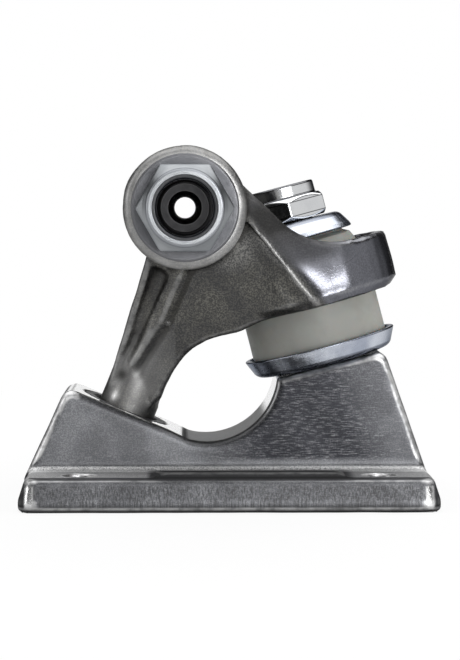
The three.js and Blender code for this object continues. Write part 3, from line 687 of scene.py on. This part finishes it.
def makeNut(name, look, line, collar, shape):
    flat, corner = look["across"] / 2, look["across"] / 2 / math.cos(math.pi / 6)
    fall = (corner - flat) * look["chamfer"]
    flat -= shape["flatInset"]
    foot, top = look["foot"], look["foot"] + look["height"]
    rim = top + collar["height"]
    under = rim - collar["lip"]
    bore = look["shaft"] + collar["gap"]
    outer = look["collarRadius"]
    inner = outer - collar["wall"]
    lip = look["shaft"] + collar["lipReach"]
    corners = [
        (bore, foot + shape["entry"][1], 0.05), (bore + shape["entry"][0], foot, 0.1), (flat, foot, 0.1),
        (corner, foot + fall, 0.2), (corner, top - fall, 0.2), (flat, top, 0.15),
        (outer + shape["collarInset"], top + look["cone"], 0.3),
        (outer, rim, collar["wall"] * shape["rimRounding"]), (lip, rim, 0.12), (lip, under, 0.08),
        (inner, under, 0.05), (inner, top, 0.05), (bore, top, 0.05),
    ]
    profile = densified(roundedProfile(corners, steps=6), shape["step"])
    flats = hexagon(look["across"], look["corner"])
    turnedPiece(name, profile, line, look["finish"], name, 360, limit=flats)
    ringFoot, ringTop, ringOuter = top + collar["gap"], under - collar["gap"] / 2, inner - collar["gap"]
    ring = [(bore, ringFoot, 0), (ringOuter, ringFoot, 0), (ringOuter, ringTop, 0.1), (bore, ringTop, 0.3)]
    turnedPiece(name.replace("nut", "nut_insert"), roundedProfile(ring), line, "nylon", name)


makeNut("kingpin_nut", kingpinNut, kingpinLine, nutCollar, nutShape)
for side, line in axleLines.items():
    makeNut("axle_nut_" + side, axleNut, line, nutCollar, nutShape)

# Axle: a hollow shaft with a thread at each end
axleLook = {
    "radius": 3.97, "bore": 2.4, "end": 106, "chamfer": 0.5, "threadLength": 13, "pitch": 1.06,
    "depth": 0.45, "coreWall": 0.3, "step": 0.15, "plainSteps": 40,
}


# Its steps are fine along the threads and at the ends, and few elsewhere
def makeAxle(look):
    radius, bore, end, chamfer = look["radius"], look["bore"], look["end"], look["chamfer"]
    start = end - look["threadLength"]
    corners = [
        (bore, -end, 0.1), (radius - chamfer, -end, 0.1), (radius, chamfer - end, 0.1),
        (radius, end - chamfer, 0.1), (radius - chamfer, end, 0.1), (bore, end, 0.1),
    ]
    dense = densified(roundedProfile(corners), look["step"])
    fineFrom = np.where(dense[:, 0] > bore + 0.2, start, end - 0.3)
    few = np.arange(len(dense)) % look["plainSteps"] == 0
    profile = dense[(np.abs(dense[:, 1]) > fineFrom) | few]
    lower = threadCut(start, end, look["pitch"], look["depth"], bore + look["coreWall"])

    def bothEnds(turn, height, radius):
        return lower(turn * np.sign(height), np.abs(height), radius)

    turnedPiece("axle", profile, axleLines["right"], "axleSteel", "hanger", 72, thread=bothEnds)


makeAxle(axleLook)

# Speed washers: flat rings, rounded on one face as stamped
speedWasher = {"bore": 4.27, "radius": 8, "thickness": 1, "inner": 74.75, "outer": 97.35}
for side, line in axleLines.items():
    for place in ("inner", "outer"):
        foot = speedWasher[place]
        rim = foot + speedWasher["thickness"]
        corners = [
            (speedWasher["bore"], foot, 0.08), (speedWasher["radius"], foot, 0.12),
            (speedWasher["radius"], rim, 0.4), (speedWasher["bore"], rim, 0.25),
        ]
        name = f"{place}_washer_{side}"
        turnedPiece(name, roundedProfile(corners), line, "dullZinc", name)
print("turned pieces done")

# Cast pieces: the CAD node's form, remeshed evenly, with its corners filled and its edges worn to set radii
nodeWeld = 0.0005


def evenCopy(node, voxel):
    mesh = frame["nodes"][node].data.copy()
    work = bmesh.new()
    work.from_mesh(mesh)
    bmesh.ops.remove_doubles(work, verts=work.verts, dist=nodeWeld * mm)
    work.to_mesh(mesh)
    work.free()
    piece = addObject(node + "_dressed", mesh)
    remesh = piece.modifiers.new("Remesh", "REMESH")
    remesh.mode = "VOXEL"
    remesh.voxel_size = voxel * mm
    solid = bpy.data.meshes.new_from_object(piece.evaluated_get(bpy.context.evaluated_depsgraph_get()))
    piece.modifiers.clear()
    piece.data = solid
    solid.materials.clear()
    return piece


def readMesh(mesh):
    points = np.empty(len(mesh.vertices) * 3, np.float32)
    mesh.vertices.foreach_get("co", points)
    edges = np.empty(len(mesh.edges) * 2, np.int32)
    mesh.edges.foreach_get("vertices", edges)
    faces = np.empty(len(mesh.loops), np.int32)
    mesh.loops.foreach_get("vertex_index", faces)
    return points.reshape(-1, 3).astype(float) / mm, edges.reshape(-1, 2), faces.reshape(-1, 4)


def sumAt(index, values, count):
    return np.stack([np.bincount(index, values[:, k], count) for k in range(values.shape[1])], axis=1)


# The mean of each point's neighbours
def neighbourMean(values, edges):
    count = len(values)
    total = sumAt(edges[:, 0], values[edges[:, 1]], count) + sumAt(edges[:, 1], values[edges[:, 0]], count)
    return total / np.bincount(edges.ravel(), minlength=count)[:, None]


# Each point's normal: the sum, over its faces, of the cross product of a face's diagonals
def pointNormals(points, faces):
    corner = points[faces]
    cross = np.cross(corner[:, 2] - corner[:, 0], corner[:, 3] - corner[:, 1])
    total = sum(sumAt(faces[:, k], cross, len(points)) for k in range(4))
    return total / np.maximum(np.linalg.norm(total, axis=1), 1e-12)[:, None]


flow = {"along": 0.8, "slide": 0.3}  # shares of the way that a point moves in one round


# A point lies off the mean of its neighbours by its bend. On a radius r that is a quarter of the voxel's
# square over r. Where the bend is more than that, the point moves along its normal by a share of the rest:
# out in a corner and in on an edge. A fillet of 0 leaves the corner alone
def wornSurface(points, edges, faces, look, fillet, edge):
    square, least = look["voxel"] ** 2 / 4, look["voxel"] / 2
    for _ in range(look["rounds"]):
        pull = neighbourMean(points, edges) - points
        normals = pointNormals(points, faces)
        bend = (pull * normals).sum(axis=1)
        wanted = fillet(points)
        fill = np.maximum(bend - square / np.maximum(wanted, least), 0) * (wanted > 0)
        wear = np.minimum(bend + square / edge(points), 0)
        slide = pull - bend[:, None] * normals
        points = points + (flow["along"] * (fill + wear))[:, None] * normals + flow["slide"] * slide
    return points


# Slow waves, as a sand mould leaves: the sum of sines along random ways, over the root of their number
waveCount = 14
waveSpread = (0.6, 1.6)


def unevenness(points, look):
    dice = np.random.default_rng(look["seed"])
    total = np.zeros(len(points))
    for _ in range(waveCount):
        way = dice.normal(size=3)
        way *= 2 * np.pi / (look["wavelength"] * dice.uniform(*waveSpread) * np.linalg.norm(way))
        total += np.sin(points @ way + dice.uniform(0, 2 * np.pi))
    return look["waviness"] * total / waveCount**0.5


# A smooth step from 0 at the low value to 1 at the high one: three squares of the share less two cubes
def ramp(value, low, high):
    share = np.clip((value - low) / (high - low), 0, 1)
    return share * share * (3 - 2 * share)


# A fade in between the first two values and, if there are four, out again between the last two
def band(value, low, high, fall=None, end=None):
    rise = ramp(value, low, high)
    return rise if fall is None else rise * (1 - ramp(value, fall, end))


# e to the minus square of the gap over the width
def bell(gap, width):
    return np.exp(-((gap / width) ** 2))


# Distance from a line and height along it
def roundLine(points, line):
    offset = points - line["origin"]
    height = offset @ line["up"]
    return np.linalg.norm(offset - height[:, None] * line["up"], axis=1), height


# The bend, evened out over its neighbours and times minus four over the voxel's square, is the curvature:
# above 0 on an edge, where the neighbours lie further in, and below 0 in a hollow
bendSmoothing = 3
hollowGain = 1.5


def bendTones(points, edges, faces, voxel):
    bend = ((neighbourMean(points, edges) - points) * pointNormals(points, faces)).sum(axis=1)[:, None]
    for _ in range(bendSmoothing):
        bend = (bend + neighbourMean(bend, edges)) / 2
    curve = -4 * bend[:, 0] / voxel**2
    return {"edge": np.clip(curve, 0, 1), "hollow": np.clip(-curve * hollowGain, 0, 1)}


# How much each point belongs to a mark: the product over its limits, each on one measure of the points.
# A tuple is a fade, a list is a range with hard ends, and None takes the measure itself
def markAt(measures, limits):
    mark = 1.0
    for name, limit in limits.items():
        value = measures[name]
        if isinstance(limit, tuple):
            value = band(value, *limit)
        elif limit is not None:
            value = (value > limit[0]) & (value < limit[1])
        mark = mark * value
    return mark


castTones = ("burnish", "machinedAndHighlight", "brushed", "bareAndHighlight", "turned", "shade", "plainEdges")


# A casting's tones, which its marks add up to, each by its share
def addMarks(measures, marks):
    values = {name: np.zeros(len(measures["width"])) for name in castTones}
    for tone, share, limits in marks:
        values[tone] += share * markAt(measures, limits)
    return {name: np.clip(value, 0, 1) for name, value in values.items()}


# The tones go into attributes of the same names. Unworn, the plain edges, takes away from the worn edges and
# their painted highlight
def makeCast(node, look, body, fillet, edge, tones, lift=None):
    piece = evenCopy(node, look["voxel"])
    points, edges, faces = readMesh(piece.data)
    points = wornSurface(points, edges, faces, look, fillet, edge)
    if lift is not None:
        points = points + lift(points, pointNormals(points, faces))
    normals = pointNormals(points, faces)
    values = tones(points, normals)
    values.update(bendTones(points, edges, faces, look["voxel"]))
    values["edge"] *= 1 - values.pop("plainEdges")
    points = points + (unevenness(points, look) * (1 - values["machinedAndHighlight"]))[:, None] * normals
    piece.data.vertices.foreach_set("co", (points * mm).astype(np.float32).ravel())
    for name, value in values.items():
        layer = piece.data.attributes.new(name, "FLOAT", "POINT")
        layer.data.foreach_set("value", value.astype(np.float32))
    piece.data.materials.append(materials[node])
    piece.data.update()
    piece.data.shade_smooth()
    finishPiece(piece, node, body)
    print(node, "has", len(faces) * 2, "triangles")


# Base plate. The fillet is left out within these distances of its bores and below this height
baseplateLook = {
    "voxel": 0.46, "rounds": 34, "wavelength": 9, "waviness": 0.02, "seed": 4, "footFillet": 1.8,
    "edgeRound": 0.45, "holes": (26.99, 20.64), "holeReach": 4, "socketReach": 9.4, "boreReach": 6,
    "filletFoot": 3, "notch": (-3.9, 24.05, 13.0), "patchLean": (0.3, 0.33), "faceEnd": (-8.0, 0.4),
}
far = 99  # beyond the part, for a range that is open at that end
padLength = {"x": (-15, -14, 21, 23)}
sideFace = {
    "facing": (0.8, 0.95), "across": (8.5, 9.3), "z": (7.2, 8.4), "width": [-far, 14], "patchStart": (-9, 10),
}
arc = {"nearArc": (-0.9, -0.4), "endward": None}
corner = {"z": (0.6, 1.2), "height": [-far, 4.8], "width": [25, far]}
foot = {"z": (6.8, 6.25), "height": [5.5, far]}
footTop = {**foot, "across": (12.2, 12.8, 14.5, 16.5)}
lip = {"across": (24.2, 25), "height": [4.4, 6.3]}
baseplateMarks = [
    ("burnish", 1, sideFace),
    ("burnish", -0.5, {**sideFace, "patchEnd": (26, 35)}),
    ("machinedAndHighlight", 1, {"pivotward": (0.9, 0.96), "x": (-8.3, -8.7), "height": [9, far]}),
    ("machinedAndHighlight", 1, {"seatward": (0.96, 0.99), "height": [15, far]}),
    ("machinedAndHighlight", 1, {**arc, "x": (6, 7.5), "height": [-far, 24.5]}),
    ("machinedAndHighlight", 0.25, {**arc, "x": (7.5, 6), "height": [-far, 23]}),
    # painted highlight and wear: bright vertical strips on the flange's rounded corners
    ("machinedAndHighlight", 0.8, {**corner, "length": (34.6, 35.2, 36.1, 36.5)}),
    ("brushed", 1, {"level": (0.6, 0.35), "height": [-far, 4.7]}),
    # painted highlight: a bright band on the pedestal's foot fillet and on the flange top beside it, less on
    # the pad
    ("bareAndHighlight", 1, {**foot, "across": (9.8, 10.6, 12.2, 12.8)}),
    ("bareAndHighlight", 1, footTop),
    ("bareAndHighlight", -0.7, {**footTop, **padLength}),
    # painted highlight: the flange's upward faces lighter, away from the pad and lip
    ("bareAndHighlight", 0.55, {"upward": (0.8, 0.95), "across": (15.5, 16.5), "height": [5, 7.2], "open": None}),
    # plain edges: less of the worn edge and its painted highlight here
    ("plainEdges", 0.75, {"x": (-28, -26, 9.5, 10.5), "height": [8, far]}),
    ("plainEdges", 0.2, lip),
    # painted shade: dark lines where the pivot face ends, under the flange's lip, on the pad's front, along
    # the flange's bottom and on its outer corners
    ("shade", 0.8, {"faceEnd": None, "upward": (0.4, 0.7), "height": [10, far]}),
    ("shade", 0.5, {**lip, "height": [5.6, 6.3]}),
    ("shade", 0.8, {**padLength, "across": (15.5, 16.5), "z": (5.7, 6.2), "height": [-far, 7.2]}),
    ("shade", 0.75, {"z": (0.85, 0.5), "upward": [-0.9, far]}),
    ("shade", 0.4, {"z": (1.6, 1.1), "upward": [-0.9, far]}),
    ("shade", 0.8, {**corner, "length": (36.2, 36.7)}),
]


def baseplateFillet(points):
    look = baseplateLook
    x, y, z = points.T
    holeX, holeY = look["holes"]
    size = np.full(len(points), look["footFillet"])
    size[np.hypot(np.abs(x) - holeX, np.abs(y) - holeY) < look["holeReach"]] = 0
    size[roundLine(points, pivotLine)[0] < look["socketReach"]] = 0
    size[roundLine(points, kingpinLine)[0] < look["boreReach"]] = 0
    size[z < look["filletFoot"]] = 0
    return size


def baseplateEdge(points):
    return baseplateLook["edgeRound"]


# Burnished pedestal sides, milled faces, a painted highlight band along the pedestal's foot and on the flange
# top, painted highlights on the flange's corners, and dark lines of painted shade below it
def baseplateTones(points, normals):
    x, y, z = points.T
    notchX, notchZ, notchRadius = baseplateLook["notch"]
    startLean, endLean = baseplateLook["patchLean"]
    faceEnd, faceEndWidth = baseplateLook["faceEnd"]
    width, facing, upward = np.abs(y), np.abs(normals[:, 1]), normals[:, 2]
    measures = {
        "x": x, "z": z, "height": z, "length": np.abs(x), "across": width, "width": width,
        "facing": facing, "endward": 1 - facing, "upward": upward, "level": np.abs(upward),
        "pivotward": normals @ pivotLine["up"], "seatward": normals @ kingpinLine["up"],
        "patchStart": x + startLean * z, "patchEnd": x + endLean * z,
        "nearArc": -np.abs(np.hypot(x - notchX, z - notchZ) - notchRadius),
        "faceEnd": bell(x - faceEnd, faceEndWidth),
    }
    measures["open"] = (1 - markAt(measures, padLength)) * (1 - markAt(measures, lip))
    return addMarks(measures, baseplateMarks)


makeCast("baseplate", baseplateLook, "base", baseplateFillet, baseplateEdge, baseplateTones)

# Hanger. Lines and places in its middle plane are pairs of X and Z. The ridge runs along the arm's edge
hangerLook = {
    "voxel": 0.54, "rounds": 60, "wavelength": 7, "waviness": 0.05, "seed": 9, "webFillet": 3.2,
    "ridgeFillet": {"across": 3, "start": -2, "y": 14, "size": 0.9},
    "pocket": {"radius": 16.2, "top": 40}, "boreReach": 6, "endFrom": 70, "stemFoot": 5, "edgeRound": 0.9,
    "barrelEdge": 0.5, "fluted": {"x": -7, "y": 16, "z": 46, "edge": 1.8},
    "ridge": ((2.92, 50.5), (16.09, 35.9)), "side": {"facing": (0.45, 0.75), "y": (2.5, 4)},
    "armWidest": 24,
    "scoop": {"depth": 0.95, "start": 0.4, "width": 9.5, "rise": (-3, 5), "fall": (-2, 3), "x": -2},
    "rib": {"height": 0.35, "place": 0.6, "width": 0.75},
    "groove": {"depth": 0.3, "place": -1.8, "width": 1.4},
    "neck": {"height": 0.6, "along": (4.6, 7, 8.6, 11), "away": (5.3, 6)},
    "flutes": [
        {"line": ((-6.5, 47.5), (-12.5, 33.3), (-18.9, 23)), "height": 0.55, "width": 0.9, "groove": 0.55},
        {"line": ((-10.4, 44), (-16.2, 29.7)), "height": 0.3, "width": 0.8, "groove": 0.2},
    ],
    "flute": {"start": (-2, 2), "end": (-4, 1), "grooveShare": 2.2},
    "ribWearAndHighlight": {"place": 0.5, "width": 0.8, "start": (0, 5), "end": (-1, 2)}, "bareSpot": (0.5, 47.0),
    "smallSpots": {"highlightSpot": (-20.9, 19.1, 0.8), "pitShade": (-19.6, 23.0, 1.1)}, "armShade": 0.72,
    "ridgeShade": 0.6,
}
armWidth = {"width": [-far, hangerLook["armWidest"]]}
arm = {**armWidth, "across": (0.9, 2.4), "along": (-6, 0), "besideRib": None}
armShade = {"height": (22, 27)}
ridgeShade = {"height": (17, 21), "across": (13, 8)}
hangerMarks = [
    ("burnish", 0.4, arm),
    ("burnish", 0.6, {**arm, "height": (28, 20)}),
    ("machinedAndHighlight", 0.17, {"y": (73.9, 74.3)}),
    ("machinedAndHighlight", 0.2, {"stemHeight": (28, 10), "stemAway": [-far, 9]}),
    # painted highlight: a bright spot near the stem's foot
    ("machinedAndHighlight", 0.6, {"highlightSpot": None}),
    ("bareAndHighlight", 1, {"bareSpot": (6, 2)}),
    # the ridge worn bright, with a painted highlight along it
    ("bareAndHighlight", 1, {**armWidth, "rib": None}),
    ("turned", 1, {"y": (17, 30)}),
    # painted shade: the arm's upper part darkened, and a dark spot for a small pit
    ("shade", 1, {**arm, "dark": None}),
    ("shade", 0.7, {"pitShade": None}),
]


# Places along and across a line in the middle plane, across counted to the right of the way, and its length
def besideLine(points, start, end):
    start, end = np.array(start, float), np.array(end, float)
    way = unit(end - start)
    gap = points[:, [0, 2]] - start
    return gap @ way, gap @ np.array([-way[1], way[0]]), np.linalg.norm(end - start)


# A raised line, a bell of the distance across, with a hollow on each side, fading out at its ends
def raisedLine(points, line, height, width, groove):
    shape = hangerLook["flute"]
    total = np.zeros(len(points))
    nearest = np.full(len(points), np.inf)
    for k, (start, end) in enumerate(zip(line[:-1], line[1:])):
        along, across, length = besideLine(points, start, end)
        across = np.abs(across)
        first, last = k == 0, k == len(line) - 2
        inside = (first | (along >= 0)) & (last | (along <= length))
        fade = ramp(along, *shape["start"]) if first else 1
        fade *= 1 - ramp(along - length, *shape["end"]) if last else 1
        profile = height * bell(across, width) - groove * bell(across - shape["grooveShare"] * width, width)
        closer = inside & (across < nearest)
        total = np.where(closer, profile * fade, total)
        nearest = np.where(closer, across, nearest)
    return total


# The side faces move along Y: the arm is scooped beside its ridge and the stem has long flutes. At a share u
# of its width the scoop's depth is 27/4 u (1 - u)^2 of the full one, which it reaches at a third.
# The stem's front swells by a small neck above its cup
def hangerLift(points, normals):
    x, y, z = points.T
    side = np.sign(y)
    look = hangerLook["side"]
    facing = ramp(normals[:, 1] * side, *look["facing"]) * ramp(np.abs(y), *look["y"])
    facing *= np.abs(y) < hangerLook["armWidest"]
    along, across, length = besideLine(points, *hangerLook["ridge"])
    look, rib, groove = hangerLook["scoop"], hangerLook["rib"], hangerLook["groove"]
    share = np.clip((across - look["start"]) / look["width"], 0, 1)
    lift = rib["height"] * bell(across - rib["place"], rib["width"])
    lift -= look["depth"] * 27 / 4 * share * (1 - share) ** 2
    lift -= groove["depth"] * bell(across - groove["place"], groove["width"])
    lift *= ramp(along, *look["rise"]) * (1 - ramp(along - length, *look["fall"])) * (x > look["x"])
    for flute in hangerLook["flutes"]:
        lift += raisedLine(points, **flute)
    moved = np.zeros(points.shape)
    moved[:, 1] = lift * side * facing
    look = hangerLook["neck"]
    away, height = roundLine(points, pivotLine)
    front = np.clip((points - pivotLine["origin"]) @ pivotLine["out"] / np.maximum(away, 1), 0, 1)
    neck = look["height"] * front * band(height, *look["along"]) * (1 - ramp(away, *look["away"]))
    return moved + neck[:, None] * pivotLine["out"]


def hangerFillet(points):
    y = np.abs(points[:, 1])
    size = np.full(len(points), hangerLook["webFillet"])
    along, across, length = besideLine(points, *hangerLook["ridge"])
    look = hangerLook["ridgeFillet"]
    nearRidge = (np.abs(across) < look["across"]) & (along > look["start"]) & (along < length)
    size[nearRidge & (y > look["y"])] = look["size"]
    away, height = roundLine(points, kingpinLine)
    size[(away < hangerLook["pocket"]["radius"]) & (height < hangerLook["pocket"]["top"])] = 0
    size[roundLine(points, axleLines["right"])[0] < hangerLook["boreReach"]] = 0
    size[y > hangerLook["endFrom"]] = 0
    size[roundLine(points, pivotLine)[1] < hangerLook["stemFoot"]] = 0
    return size


def hangerEdge(points):
    x, y, z = points.T
    look = hangerLook["fluted"]
    fluted = (x < look["x"]) & (np.abs(y) < look["y"]) & (z < look["z"])
    size = np.where(fluted, look["edge"], hangerLook["edgeRound"])
    return np.where(np.abs(y) > hangerLook["endFrom"], hangerLook["barrelEdge"], size)


# A burnished arm beside its ridge, which is worn bright and given a painted highlight, turned barrel ends, a
# worn spot, a stem lighter towards its foot, a painted highlight spot, painted shade on the arm's upper part
# and one dark pit painted as shade
def hangerTones(points, normals):
    x, y, z = points.T
    along, across, length = besideLine(points, *hangerLook["ridge"])
    stemAway, stemHeight = roundLine(points, pivotLine)
    look = hangerLook["ribWearAndHighlight"]
    rib = bell(across - look["place"], look["width"]) * ramp(along, *look["start"])
    rib *= 1 - ramp(along - length, *look["end"])
    spotX, spotZ = hangerLook["bareSpot"]
    measures = {
        "along": along, "across": across, "y": np.abs(y), "width": np.abs(y), "rib": rib, "besideRib": 1 - rib,
        "height": roundLine(points, kingpinLine)[1], "stemAway": stemAway, "stemHeight": stemHeight,
        "bareSpot": np.hypot(x - spotX, z - spotZ),
    }
    for name, (spotX, spotZ, size) in hangerLook["smallSpots"].items():
        measures[name] = bell(np.hypot(x - spotX, z - spotZ), size)
    armDark = hangerLook["armShade"] * markAt(measures, armShade)
    # dark: the painted shade on the arm's upper part and beside the ridge
    measures["dark"] = np.maximum(armDark, hangerLook["ridgeShade"] * markAt(measures, ridgeShade))
    return addMarks(measures, hangerMarks)


makeCast("hanger", hangerLook, "hanger", hangerFillet, hangerEdge, hangerTones, hangerLift)

# Floor. It is white to the camera and to reflections, and shows some of its shading near the object, so that
# the shadow stays
floorLook = {
    "radius": 1.6, "segments": 64, "color": (0.9, 0.9, 0.9, 1), "roughness": 0.9, "glow": 0.88,
    "fade": (0.09, 0.26),
}


def makeFloor(look):
    turn = np.arange(look["segments"]) * 2 * np.pi / look["segments"]
    ring = np.stack([np.cos(turn), np.sin(turn), np.zeros(len(turn))], axis=1) * look["radius"]
    mesh = bpy.data.meshes.new("floor")
    mesh.from_pydata(ring.tolist(), [], [list(range(len(ring)))])
    floor = addObject("floor", mesh)
    material, tree, shader = makeMaterial("paleFloor")
    inputs = {"Base Color": look["color"], "Roughness": look["roughness"], "Specular IOR Level": 0.0}
    setInputs(tree, shader, inputs)
    away = addNode(tree, "ShaderNodeVectorMath", {0: objectPlace(tree)}, operation="LENGTH").outputs["Value"]
    glow = rangeNode(tree, away, *look["fade"], look["glow"], 1)
    path = addNode(tree, "ShaderNodeLightPath").outputs
    bent = larger(tree, path["Is Glossy Ray"], path["Is Transmission Ray"])
    factor = times(tree, larger(tree, path["Is Camera Ray"], bent), glow)
    light = addNode(tree, "ShaderNodeEmission", {"Color": white, "Strength": 1.0}).outputs[0]
    surface = addNode(tree, "ShaderNodeMixShader", {0: factor, 1: shader.outputs[0], 2: light}).outputs[0]
    setInputs(tree, tree.nodes["Material Output"], {"Surface": surface})
    mesh.materials.append(material)


makeFloor(floorLook)

# Lamps, in metres. A lamp both lights the surfaces and shows in their reflections unless it says otherwise
lamps = {
    "overhead": {"place": (0.05, 0.1, 0.8), "aim": (0, 0, 0.03), "size": (1.5, 1.2), "power": 8.0},
    "key": {"place": (0.3, -0.85, 0.14), "aim": (0, 0, 0.05), "size": (0.46, 0.34), "power": 4.2,
            "diffuse": False},
    "leftStrip": {"place": (-0.75, -0.3, 0.3), "aim": (0, 0, 0.04), "size": (0.12, 0.5), "power": 1.0},
    "front": {"place": (0.1, -1.1, 0.5), "aim": (0, 0, 0.03), "size": (1.3, 0.6), "power": 3.6,
              "diffuse": False},
    "rightSoft": {"place": (0.85, -0.4, 0.12), "aim": (0, 0, 0.03), "size": (0.3, 0.4), "power": 5.0,
                  "glossy": False},
}
for name, look in lamps.items():
    data = bpy.data.lights.new(name, "AREA")
    data.shape = "RECTANGLE"
    data.size, data.size_y = look["size"]
    data.energy = look["power"]
    lamp = addObject(name, data)
    lamp.location = look["place"]
    lamp.visible_diffuse = look.get("diffuse", True)
    lamp.visible_glossy = look.get("glossy", True)
    lamp.rotation_euler = (Vector(look["aim"]) - lamp.location).to_track_quat("-Z", "Y").to_euler()

# Surroundings, by the way that a ray leaves: white straight behind the object, pale above and low at both
# sides, grey towards the camera, and dark between. Each is a brightness and a fade along one axis
worldLook = {
    "ambient": 0.48, "dark": 0.06, "front": (0.6, 0.72, 0.96), "right": (0.9, 0.42, 0.6),
    "left": (0.85, 0.55, 0.75), "above": (1.0, 0.52, 0.8), "behind": (1.0, 0.94, 0.985),
    "low": (0.42, 0.28), "sideways": (0.8, 0.05),
}


def makeWorld(look):
    world = bpy.data.worlds.new("studio")
    scene.world = world
    world.use_nodes = True
    tree = world.node_tree
    way = addNode(tree, "ShaderNodeTexCoord").outputs["Generated"]
    x, y, z = addNode(tree, "ShaderNodeSeparateXYZ", {0: way}).outputs
    beside = times(tree, rangeNode(tree, y, *look["sideways"]), rangeNode(tree, z, *look["low"]))
    ways = {"front": times(tree, y, -1.0), "right": x, "left": times(tree, x, -1.0), "above": z, "behind": y}
    level = look["dark"]
    for name, way in ways.items():
        brightness, low, high = look[name]
        share = rangeNode(tree, way, low, high)
        if name in sides:
            share = times(tree, share, beside)
        level = mixValue(tree, share, level, brightness)
    path = addNode(tree, "ShaderNodeLightPath").outputs
    level = mixValue(tree, path["Is Glossy Ray"], look["ambient"], level)
    seen = larger(tree, path["Is Camera Ray"], path["Is Transmission Ray"])
    level = mixValue(tree, seen, level, 1.0)
    setInputs(tree, tree.nodes["Background"], {"Strength": level, "Color": white})


makeWorld(worldLook)
scene.view_settings.view_transform = "Standard"
print("stage set")
